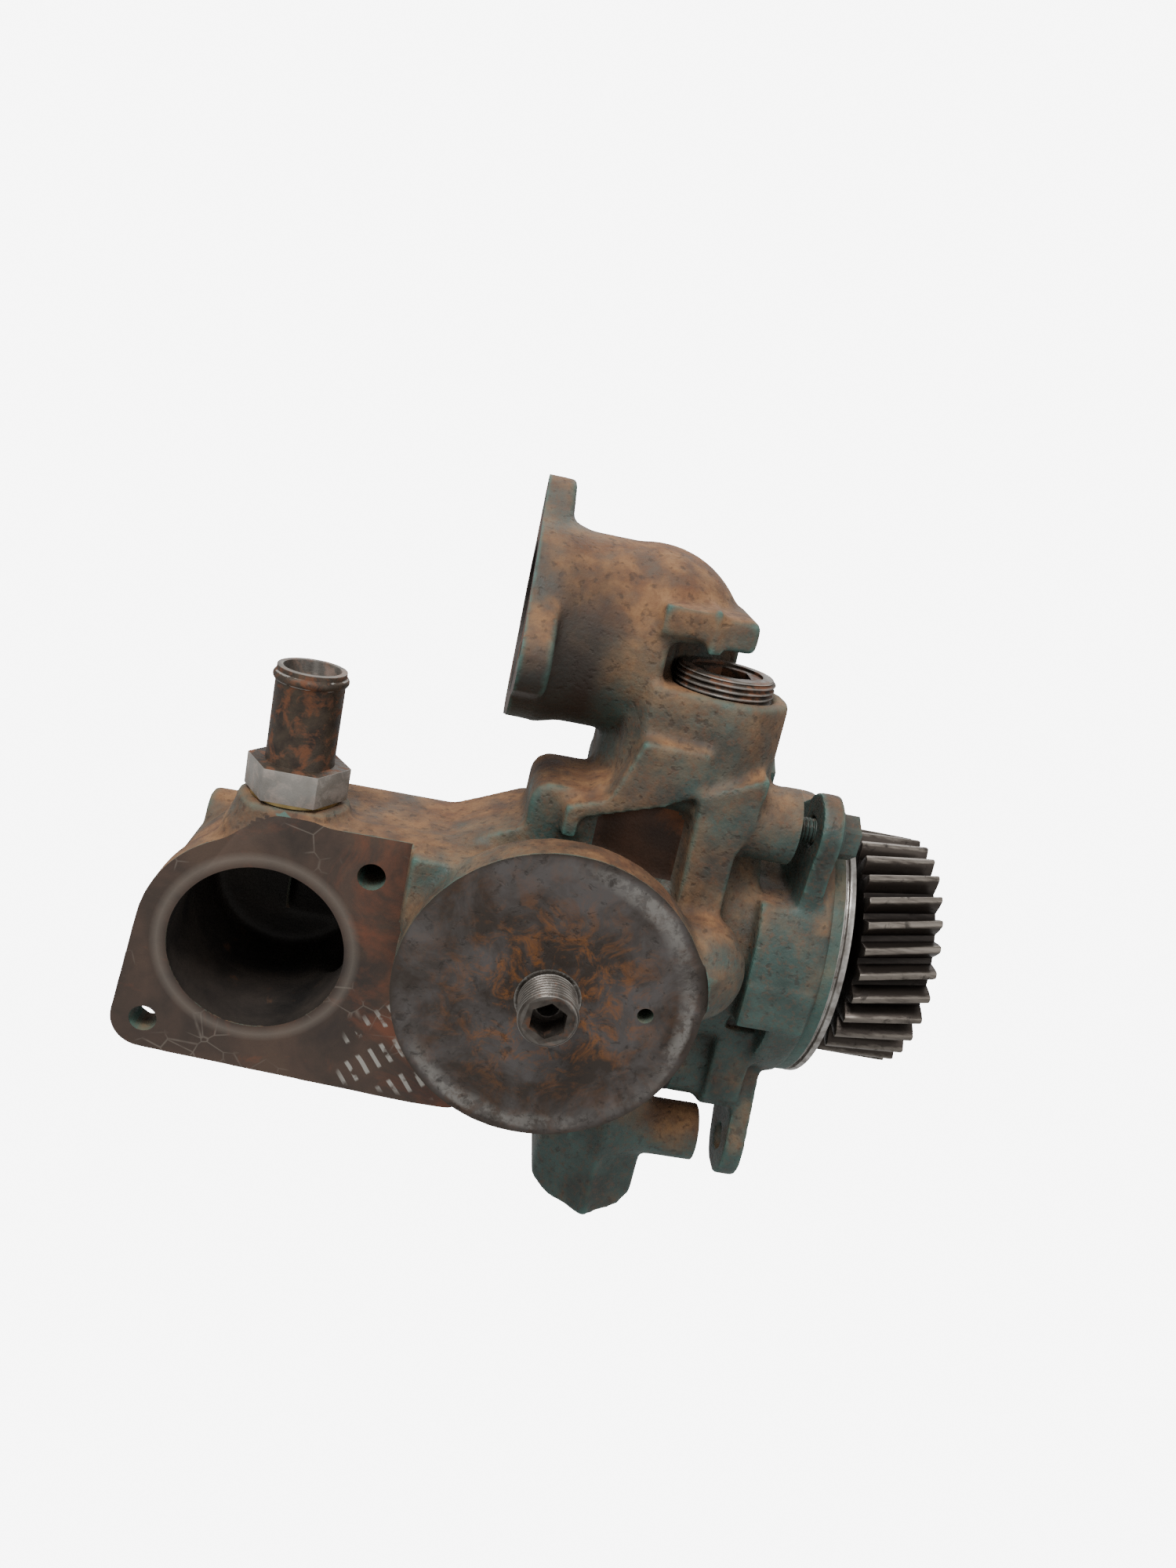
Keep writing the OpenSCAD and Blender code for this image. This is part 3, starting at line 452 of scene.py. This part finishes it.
def discMetal():
    look = {"dark": (0.036, 0.026, 0.020), "grey": (0.088, 0.078, 0.074), "rust": (0.24, 0.090, 0.022),
            "ring": (0.26, 0.245, 0.225), "rim": (0.040, 0.030, 0.023), "pit": (0.02, 0.015, 0.012),
            "studCentre": (-0.084, -0.065, -0.008)}
    material, tree, shader, coords = startMaterial("discMetal")
    at = coords.outputs["Object"]
    fromStud = distanceFrom(tree, at, look["studCentre"])
    tone = ramp(tree, noise(tree, at, 48, 7, 0.66, 0.5), [(0.40, 0.0), (0.62, 1.0)])
    colour = blendColour(tree, tone, look["dark"], look["grey"])
    rust = ramp(tree, noise(tree, at, 120, 9, 0.74, 0.9), [(0.48, 0.0), (0.62, 1.0)])
    middle = ramp(tree, times(tree, fromStud, 22.0), [(0.30, 0.9), (0.80, 0.12)])
    colour = blendColour(tree, times(tree, rust, middle), colour, look["rust"])
    wobble = times(tree, minus(tree, noise(tree, at, 90, 5), 0.5), 0.004)
    radius = times(tree, plus(tree, fromStud, wobble), 20.0)
    band = ramp(tree, radius, [(0.765, 0.0), (0.83, 1.0), (0.875, 1.0), (0.90, 0.0)])
    scuffs = ramp(tree, noise(tree, at, 26, 5, 0.6, 0.4), [(0.40, 0.15), (0.60, 1.0)])
    # the ring is worn bright only at the upper right and along the bottom
    place = put(tree, "SeparateXYZ", i0=at)
    right = times(tree, plus(tree, place.outputs[0], 0.088), 40.0, True)
    low = times(tree, minus(tree, -0.026, place.outputs[2]), 60.0, True)
    worn = plus(tree, calc(tree, "MAXIMUM", right, low), 0.12, True)
    nicks = ramp(tree, noise(tree, at, 300, 5, 0.7, 0.4), [(0.42, 0.25), (0.56, 1.0)])
    band = times(tree, times(tree, band, scuffs), times(tree, worn, nicks))
    colour = blendColour(tree, band, colour, look["ring"])
    colour = blendColour(tree, ramp(tree, radius, [(0.90, 0.0), (0.93, 1.0)]), colour, look["rim"])
    pits = ramp(tree, noise(tree, at, 330, 4, 0.6, 0.4), [(0.30, 0.0), (0.42, 1.0)])
    colour = blendColour(tree, times(tree, minus(tree, 1.0, pits), 0.6), colour, look["pit"])
    tree.links.new(colour, shader.inputs["Base Color"])
    tree.links.new(spread(tree, tone, 0.5, 0.36), shader.inputs["Roughness"])
    tree.links.new(plus(tree, 0.35, times(tree, band, 0.4)), shader.inputs["Metallic"])
    bump(tree, shader, pits, 0.35, 0.0005)
    return material


flangeMetal = machinedFlange()
filterMetal = discMetal()


def giveMaterial(piece, material):
    piece.data.materials.clear()
    piece.data.materials.append(material)


def paintFaces(piece, material, test):  # test reads a face's middle and normal
    piece.data.materials.append(material)
    index = len(piece.data.materials) - 1
    count = 0
    for face in piece.data.polygons:
        if test(face.center, face.normal):
            face.material_index = index
            count += 1
    print("  ", material.name, "on", count, "faces")


# pump casting: the CAD solid, given cast skin and fillets, then machined again
pumpCasting = {
    "voxel": 0.0013, "smoothing": 9, "stock": 0.0025, "most": 190000,
    "port": (-0.1726, -0.0168), "inletFace": -0.047, "discFace": -0.065, "head": (-0.084, -0.008),
    "outletFace": -0.111, "outlet": (-0.007, 0.092), "seam": -0.035,
    "topEar": (-0.0335, 0.0483), "lowEar": (-0.026, -0.070), "topBossEnd": -0.0175, "lowBossEnd": -0.020,
    "plug": (-0.047, -0.023), "portRadius": 0.0267, "outletRadius": 0.024, "boltHole": 0.00425,
    "flangeReach": 0.043, "flangeTurn": 44, "outletReach": 0.037, "outletTurn": 68,
    "studHole": 0.01005, "feedHole": 0.0025, "feedReach": 0.0296, "plugHole": 0.01555, "bossHole": 0.00405,
    "machined": 0.0002,  # how near a machined face its paint reaches
    "water": [  # passages: axis, centre, a little over the radius, start and end
        ("y", (-0.1726, -0.0168), 0.0275, -0.0465, 0.0128), ("x", (-0.006, -0.012), 0.0279, -0.173, -0.0905),
        ("x", (-0.007, 0.092), 0.0252, -0.1105, -0.0745), ("x", (0, 0), 0.0377, -0.0625, -0.036),
        ("x", (0, 0), 0.0228, -0.105, -0.061), ("z", (-0.065, 0.003), 0.0132, 0.02, 0.094),
        ("x", (0.001, 0.089), 0.0162, -0.081, -0.0625)]}


def makePumpCasting(size):
    piece = copyOf("pump_housing", "pumpCastingSkin")
    stock = size["stock"]
    pushFace(piece, 1, size["inletFace"], -stock, lambda p: p.x < -0.100)
    pushFace(piece, 1, size["discFace"], -stock)
    pushFace(piece, 0, size["outletFace"], -stock)
    pushFace(piece, 0, size["seam"], 0.001)
    pushFace(piece, 0, size["topBossEnd"], stock)
    pushFace(piece, 0, size["lowBossEnd"], stock)
    applyModifier(piece, "REMESH", mode="VOXEL", voxel_size=size["voxel"])
    applyModifier(piece, "SMOOTH", factor=0.5, iterations=size["smoothing"])
    print("  skin", len(piece.data.vertices), "points")

    # faces
    portX, portZ = size["port"]
    headX, headZ = size["head"]
    cutter = block("inletFaceCutter", (-0.220, -0.062, -0.080), (-0.100, size["inletFace"], 0.034))
    combine(cutter, rod("discGuard", "y", (headX, -0.070, headZ), -0.040, 0.0467))
    combine(cutter, block("lumpGuard", (-0.1313, -0.070, 0.0017), (-0.090, -0.040, 0.040)))
    combine(piece, cutter)
    combine(piece, rod("discFaceCutter", "y", (headX, -0.080, headZ), size["discFace"], 0.0474))
    combine(piece, block("outletFaceCutter", (-0.130, -0.070, 0.030), (size["outletFace"], 0.060, 0.150)))
    combine(piece, block("seamCutter", (size["seam"], -0.044, -0.0445), (-0.028, 0.060, 0.036)))
    combine(piece, block("seamTopCutter", (size["seam"], 0.002, 0.030), (-0.028, 0.060, 0.062)))
    combine(piece, block("seamLowCutter", (size["seam"], -0.012, -0.064), (-0.028, 0.060, -0.040)))
    for ear, end in ((size["topEar"], size["topBossEnd"]), (size["lowEar"], size["lowBossEnd"])):
        combine(piece, rod("bossFacer", "x", (end, *ear), end + 0.008, 0.0145))
    # bores and holes
    combine(piece, rod("portBore", "y", (portX, -0.055, portZ), -0.0165, size["portRadius"]))
    combine(piece, rod("outletBore", "x", (-0.120, *size["outlet"]), -0.086, size["outletRadius"]))
    reach, turn = size["flangeReach"], math.radians(size["flangeTurn"])
    for side, depth in ((1, -0.019), (-1, -0.004)):
        at = (portX + side * reach * math.cos(turn), portZ + side * reach * math.sin(turn))
        combine(piece, rod("flangeHole", "y", (at[0], -0.055, at[1]), depth, size["boltHole"], 48))
    outletY, outletZ = size["outlet"]
    reach = size["outletReach"]
    for i in range(3):
        turn = math.radians(size["outletTurn"] + 120 * i)
        at = (outletY + reach * math.cos(turn), outletZ + reach * math.sin(turn))
        combine(piece, rod("outletHole", "x", (-0.120, *at), -0.0935, size["boltHole"], 48))
    combine(piece, rod("studHole", "y", (headX, -0.070, headZ), -0.047, size["studHole"]))
    combine(piece, rod("feedHole", "y", (headX + size["feedReach"], -0.070, headZ), -0.032, size["feedHole"], 32))
    combine(piece, rod("plugHole", "z", (*size["plug"], 0.076), 0.090, size["plugHole"]))
    for ear, end in ((size["topEar"], size["topBossEnd"]), (size["lowEar"], size["lowBossEnd"])):
        combine(piece, rod("bossHole", "x", (end - 0.022, *ear), end + 0.003, size["bossHole"], 48))
    limitTriangles(piece, size["most"])
    smoothByAngle(piece, 38)

    giveMaterial(piece, pumpPaint)
    near = size["machined"]
    paintFaces(piece, flangeMetal,
               lambda c, n: n.y < -0.9 and abs(c.y - size["inletFace"]) < near and c.x < -0.100)
    paintFaces(piece, filterMetal, lambda c, n: n.y < -0.9 and abs(c.y - size["discFace"]) < near)
    paintFaces(piece, rustyFace, lambda c, n: (abs(c.x - size["outletFace"]) < near and n.x < -0.9)
               or (abs(c.x - size["seam"]) < near and n.x > 0.9)
               or (n.x > 0.9 and c.x > size["topBossEnd"] - near)
               or (n.x > 0.9 and abs(c.x - size["lowBossEnd"]) < near and c.z < -0.055))

    def insideWater(c, n):
        for axis, centre, radius, start, end in size["water"]:
            along = "xyz".index(axis)
            first, second = [c[i] for i in range(3) if i != along]
            if (first - centre[0]) ** 2 + (second - centre[1]) ** 2 < radius ** 2 and start < c[along] < end:
                return True
        return False

    paintFaces(piece, darkBore, insideWater)
    paintFaces(piece, rustyFace,  # the ledge above the filter head
               lambda c, n: n.y < -0.9 and abs(c.y + 0.038) < 0.0012 and -0.080 < c.x < -0.050 and 0.026 < c.z < 0.054)
    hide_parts("pump_housing")
    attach(piece, "housing")


makePumpCasting(pumpCasting)
print("pump casting done")

# bearing casting: cast skin behind the register, crisp turned metal on it
bearingCasting = {
    "voxel": 0.0011, "smoothing": 7, "most": 120000, "paintEnd": 0.0035, "seam": -0.034,
    "steps": [  # the shaft's bore: start, end and radius
        (-0.018, 0.004, 0.0235), (-0.0245, -0.017, 0.0185), (-0.027, -0.023, 0.0135), (-0.036, -0.026, 0.0165)],
    "ears": [(-0.0335, 0.0483), (-0.026, -0.070)], "boltTurns": (66, 2, -62), "boltReach": 0.052, "boltHole": 0.0045}


def makeBearingCasting(size):
    cast = copyOf("bearing_housing", "bearingCastingSkin")
    turned = copyOf("bearing_housing", "bearingCastingTurned")
    for piece, place, side in ((cast, 0.0015, 1), (turned, 0.0005, -1)):
        pick(piece)
        bpy.ops.object.mode_set(mode="EDIT")
        bpy.ops.mesh.select_all(action="SELECT")
        bpy.ops.mesh.bisect(plane_co=(place, 0, 0), plane_no=(side, 0, 0), use_fill=True, clear_outer=True)
        bpy.ops.object.mode_set(mode="OBJECT")
    pushFace(cast, 0, size["seam"], -0.001)
    applyModifier(cast, "REMESH", mode="VOXEL", voxel_size=size["voxel"])
    applyModifier(cast, "SMOOTH", factor=0.5, iterations=size["smoothing"])
    combine(cast, block("seamCutter", (-0.045, -0.070, -0.090), (size["seam"], 0.070, 0.070)))
    for start, end, radius in size["steps"]:
        combine(cast, rod("shaftBore", "x", (start, 0, 0), end, radius))
    for ear in size["ears"]:
        combine(cast, rod("earHole", "x", (-0.014, *ear), 0.0, size["boltHole"], 48))
    reach = size["boltReach"]
    for turn in size["boltTurns"]:
        at = (reach * math.cos(math.radians(turn)), reach * math.sin(math.radians(turn)))
        combine(cast, rod("coverHole", "x", (-0.037, *at), -0.019, size["boltHole"], 48))
    breakEdges(turned, 0.0003, 40)
    limitTriangles(cast, size["most"])
    piece = joinInto(cast, [turned])
    smoothByAngle(piece, 36)
    giveMaterial(piece, bearingPaint)
    paintFaces(piece, registerSteel, lambda c, n: c.x > size["paintEnd"])
    paintFaces(piece, rustyFace, lambda c, n: c.x < -0.0338 or c.y ** 2 + c.z ** 2 < 0.0236 ** 2)
    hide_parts("bearing_housing")
    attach(piece, "housing")


makeBearingCasting(bearingCasting)
print("bearing casting done")


def gearSteel():
    # root is a painted shade colour for the tooth roots, tip a painted highlight colour for the tooth tips
    look = {"root": (0.018, 0.014, 0.012), "flank": (0.055, 0.044, 0.037), "tip": (0.20, 0.175, 0.15),
            "rootRadius": 0.0335}
    material, tree, shader, coords = startMaterial("gearSteel")
    at = coords.outputs["Object"]
    flat = put(tree, "VectorMath", {"operation": "MULTIPLY"}, i0=at, i1=(0.0, 1.0, 1.0)).outputs[0]
    radius = put(tree, "VectorMath", {"operation": "LENGTH"}, i0=flat).outputs[1]
    streaks = noise(tree, put(tree, "Mapping", Vector=at, Scale=(1.0, 6.0, 6.0)).outputs[0], 120, 5, 0.6)
    # painted shade and highlight: the teeth get darker towards the roots and brighter towards the tips, as if lit
    height = plus(tree, times(tree, minus(tree, radius, look["rootRadius"]), 160.0),
                  times(tree, minus(tree, streaks, 0.5), 0.5))
    colour = ramp(tree, height, [(0.05, look["root"]), (0.45, look["flank"]),
                                 (0.80, look["flank"]), (0.97, look["tip"])])
    spots = ramp(tree, noise(tree, at, 220, 5, 0.6, 0.4), [(0.58, 0.0), (0.68, 1.0)])
    # rust spots darken towards the same shaded root colour
    colour = blendColour(tree, times(tree, spots, 0.7), colour, look["root"])
    tree.links.new(colour, shader.inputs["Base Color"])
    tree.links.new(spread(tree, spots, 0.36, 0.65), shader.inputs["Roughness"])
    shader.inputs["Metallic"].default_value = 0.75
    bump(tree, shader, streaks, 0.15, 0.0004)
    return material


def finishedCopy(node, name, body, material, bevel=0.0003):  # a CAD piece with its edges broken
    piece = copyOf(node, name)
    breakEdges(piece, bevel, 30)
    smoothByAngle(piece, 32)
    giveMaterial(piece, material)
    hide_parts(node)
    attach(piece, body)


finishedCopy("drive_gear", "driveGearCut", "rotor", gearSteel(), 0.00025)
print("gear done")

# fasteners and small steel
boltPaint = paintedCasting("boltPaint", dict(
    bearingPaintLook, dust=0.05, upward=0.3, grainSize=2.0, grainDepth=0.25, edgePaint=0.2))
dullSteelLook = {
    "dark": (0.045, 0.037, 0.031), "light": (0.115, 0.100, 0.087), "spots": (0.09, 0.04, 0.02),
    "toneScale": 160, "spotScale": 200, "spotFrom": 0.56, "rough": 0.42, "metallic": 0.8,
    "grainScale": 1600, "grain": 0.25, "edge": (0.35, 0.33, 0.30)}
dullSteel = mottledMetal("dullSteel", dullSteelLook)
plugIron = mottledMetal("plugIron", dict(
    dullSteelLook, light=(0.075, 0.055, 0.038), dark=(0.03, 0.022, 0.018), spots=(0.13, 0.05, 0.022),
    spotFrom=0.48, metallic=0.5, rough=0.5))
cleanSteel = mottledMetal("cleanSteel", {
    "dark": (0.38, 0.37, 0.36), "light": (0.58, 0.57, 0.55), "spots": (0.30, 0.26, 0.22),
    "toneScale": 220, "spotScale": 300, "spotFrom": 0.64, "rough": 0.26, "metallic": 1.0,
    "grainScale": 2200, "grain": 0.12})
castIron = mottledMetal("castIron", {
    "dark": (0.05, 0.045, 0.042), "light": (0.11, 0.10, 0.095), "spots": (0.14, 0.06, 0.03),
    "toneScale": 90, "spotScale": 110, "spotFrom": 0.58, "rough": 0.6, "metallic": 0.5,
    "grainScale": 900, "grain": 0.5})
dullBrass = mottledMetal("dullBrass", {
    "dark": (0.24, 0.17, 0.07), "light": (0.42, 0.31, 0.13), "spots": (0.12, 0.08, 0.04),
    "toneScale": 200, "spotScale": 260, "spotFrom": 0.62, "rough": 0.35, "metallic": 0.9,
    "grainScale": 1800, "grain": 0.15})
rubber = mottledMetal("rubber", {
    "dark": (0.012, 0.011, 0.010), "light": (0.028, 0.024, 0.021), "spots": (0.05, 0.035, 0.025),
    "toneScale": 150, "spotScale": 200, "spotFrom": 0.62, "rough": 0.7, "metallic": 0.0,
    "grainScale": 1200, "grain": 0.3})
ceramic = mottledMetal("ceramic", {
    "dark": (0.62, 0.59, 0.53), "light": (0.72, 0.69, 0.63), "spots": (0.50, 0.46, 0.40),
    "toneScale": 120, "spotScale": 180, "spotFrom": 0.66, "rough": 0.25, "metallic": 0.0,
    "grainScale": 1500, "grain": 0.08})
carbon = mottledMetal("carbon", {
    "dark": (0.014, 0.014, 0.015), "light": (0.03, 0.03, 0.032), "spots": (0.05, 0.05, 0.052),
    "toneScale": 150, "spotScale": 220, "spotFrom": 0.66, "rough": 0.4, "metallic": 0.1,
    "grainScale": 1500, "grain": 0.1})


def threadedRod(name, axis, start, end, radius, pitch, depth):
    deselectAll()
    length = end - start["xyz".index(axis)]
    rings = round(length / pitch * 8)
    bpy.ops.mesh.primitive_circle_add(vertices=48, radius=radius, fill_type="NGON", location=(0, 0, 0))
    piece = bpy.context.object
    piece.name = name
    bpy.ops.object.mode_set(mode="EDIT")
    bpy.ops.mesh.select_mode(type="FACE")
    bpy.ops.mesh.select_all(action="SELECT")
    bpy.ops.mesh.extrude_repeat(steps=rings, offset=(0, 0, length / rings))
    bpy.ops.object.mode_set(mode="OBJECT")
    for vertex in piece.data.vertices:
        place = vertex.co
        phase = (place.z / pitch - math.atan2(place.y, place.x) / math.tau) % 1.0
        crest = min(1.0, abs(phase - 0.5) * 2.6)
        fromEnd = min(place.z, length - place.z)
        cone = depth * 1.3 * max(0.0, 1.0 - fromEnd / depth)
        share = (radius - max(depth * (1.0 - crest), cone)) / radius
        place.x *= share
        place.y *= share
    bpy.ops.object.mode_set(mode="EDIT")
    bpy.ops.mesh.select_all(action="SELECT")
    bpy.ops.mesh.normals_make_consistent(inside=False)
    bpy.ops.object.mode_set(mode="OBJECT")
    piece.rotation_euler = turns[axis]
    piece.location = start
    placeInMesh(piece)
    return piece


def keepSide(piece, axis, place, side):  # cuts the piece at a place along an axis and keeps one side
    pick(piece)
    bpy.ops.object.mode_set(mode="EDIT")
    bpy.ops.mesh.select_all(action="SELECT")
    at, normal = [0, 0, 0], [0, 0, 0]
    at["xyz".index(axis)] = place
    normal["xyz".index(axis)] = -side
    bpy.ops.mesh.bisect(plane_co=at, plane_no=normal, use_fill=True, clear_outer=True)
    bpy.ops.object.mode_set(mode="OBJECT")


def finishThreaded(piece, node, material, body="housing"):
    smoothByAngle(piece, 32)
    giveMaterial(piece, material)
    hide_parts(node)
    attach(piece, body)


threadOverlap = 0.0002  # how far a thread runs into its head
earBolt = {"at": (-0.0335, 0.0483), "neck": -0.0108, "radius": 0.00398, "pitch": 0.00125, "depth": 0.0006}
boltHead = copyOf("ear_bolt", "earBoltThreaded")
boltEnd = min(v.co.x for v in boltHead.data.vertices)
keepSide(boltHead, "x", earBolt["neck"], 1)
breakEdges(boltHead, 0.0003, 40)
boltThread = threadedRod("earBoltThread", "x", (boltEnd, *earBolt["at"]), earBolt["neck"] + threadOverlap,
                         earBolt["radius"], earBolt["pitch"], earBolt["depth"])
finishThreaded(joinInto(boltHead, [boltThread]), "ear_bolt", boltPaint)

stud = {"at": (-0.084, -0.008), "front": -0.0775, "face": -0.0652, "radius": 0.00898, "pitch": 0.0015,
        "depth": 0.0008, "socket": 0.0058, "bore": 0.0035}
studSeat = copyOf("filter_stud", "filterStudThreaded")
keepSide(studSeat, "y", stud["face"], 1)
studX, studZ = stud["at"]
studThread = threadedRod("studThread", "y", (studX, stud["front"], studZ), stud["face"] + threadOverlap,
                         stud["radius"], stud["pitch"], stud["depth"])
combine(studThread, rod("studSocket", "y", (studX, -0.090, studZ), -0.0685, stud["socket"], 6))
combine(studThread, rod("studBore", "y", (studX, -0.090, studZ), -0.060, stud["bore"], 48))
finishThreaded(joinInto(studSeat, [studThread]), "filter_stud", dullSteel)

capPlug = {"at": (-0.047, -0.023), "bottom": 0.077, "top": 0.091, "radius": 0.01548, "pitch": 0.0018,
           "depth": 0.0009, "socketFloor": 0.0822, "socket": 0.0081, "dishFloor": 0.0902, "dish": 0.0112}
plugThread = threadedRod("topPlugThreaded", "z", (*capPlug["at"], capPlug["bottom"]), capPlug["top"],
                         capPlug["radius"], capPlug["pitch"], capPlug["depth"])
combine(plugThread, rod("plugSocket", "z", (*capPlug["at"], capPlug["socketFloor"]), 0.100, capPlug["socket"], 6))
combine(plugThread, rod("plugDish", "z", (*capPlug["at"], capPlug["dishFloor"]), 0.100, capPlug["dish"], 64))
finishThreaded(plugThread, "top_plug", plugIron)
print("threads done")
finishedCopy("cover_bolts", "coverBoltsPainted", "housing", boltPaint)
finishedCopy("gear_nut", "gearNutSteel", "rotor", dullSteel)
finishedCopy("hose_nipple", "hoseNippleWorn", "housing", plugIron)

plainFinish = {
    "cover_washers": dullSteel, "locating_dowels": cleanSteel, "pump_shaft": cleanSteel, "gear_key": dullSteel,
    "gear_washer": dullSteel, "impeller": castIron, "seal_seat": ceramic, "seal_face": carbon, "seal_bellows": rubber,
    "seal_cup": dullBrass, "oil_seal": rubber, "housing_gasket": rubber, "front_bearing_outer": cleanSteel,
    "front_bearing_inner": cleanSteel, "front_bearing_balls": cleanSteel, "front_bearing_cage": dullBrass,
    "rear_bearing_outer": cleanSteel, "rear_bearing_inner": cleanSteel, "rear_bearing_balls": cleanSteel,
    "rear_bearing_cage": dullBrass, "outer_spacer": cleanSteel, "inner_spacer": cleanSteel, "circlip": dullSteel,
    "nipple_washer": dullBrass, "core_plug": dullSteel}
for name, material in plainFinish.items():
    giveMaterial(nodes[name], material)
print("small pieces done")

# light and camera: a white backdrop that only the camera sees, with no floor
studio = {"worldTone": 0.96, "worldPower": 0.62, "seenPower": 8.0, "aim": (-0.07, 0, 0)}

world = bpy.data.worlds.new("studioAir")
world.use_nodes = True
air = world.node_tree.nodes["Background"]
air.inputs[0].default_value = (studio["worldTone"],) * 3 + (1,)
rays = world.node_tree.nodes.new("ShaderNodeLightPath")
power = world.node_tree.nodes.new("ShaderNodeMapRange")
power.inputs["To Min"].default_value = studio["worldPower"]
power.inputs["To Max"].default_value = studio["seenPower"]
world.node_tree.links.new(rays.outputs["Is Camera Ray"], power.inputs["Value"])
world.node_tree.links.new(power.outputs[0], air.inputs[1])
bpy.context.scene.world = world

lamps = [  # name, place, size, watts
    ("keyLamp", (-0.45, -0.6, 1.1), 0.5, 17.0),
    ("fillLamp", (0.7, -0.7, 0.5), 0.8, 2.6),
    ("backLamp", (0.1, 0.8, 0.8), 0.8, 6.0)]
for name, place, size, watts in lamps:
    light = bpy.data.lights.new(name, "AREA")
    light.size = size
    light.energy = watts
    lamp = bpy.data.objects.new(name, light)
    lamp.location = place
    lamp.rotation_euler = (Vector(studio["aim"]) - Vector(place)).to_track_quat("-Z", "Y").to_euler()
    bpy.context.scene.collection.objects.link(lamp)

view = {"lens": 27, "sensor": 36,  # millimetres
        "place": ((0.9776, -0.1820, -0.1053, -0.1205), (-0.0433, 0.3159, -0.9478, -0.3741),
                  (0.2058, 0.9312, 0.3009, 0.1581), (0, 0, 0, 1))}
lens = bpy.data.cameras.new("viewLens")
lens.lens = view["lens"]
lens.sensor_width = view["sensor"]
camera = bpy.data.objects.new("viewCamera", lens)
camera.matrix_world = Matrix(view["place"])
bpy.context.scene.collection.objects.link(camera)
bpy.context.scene.camera = camera
print("studio ready")
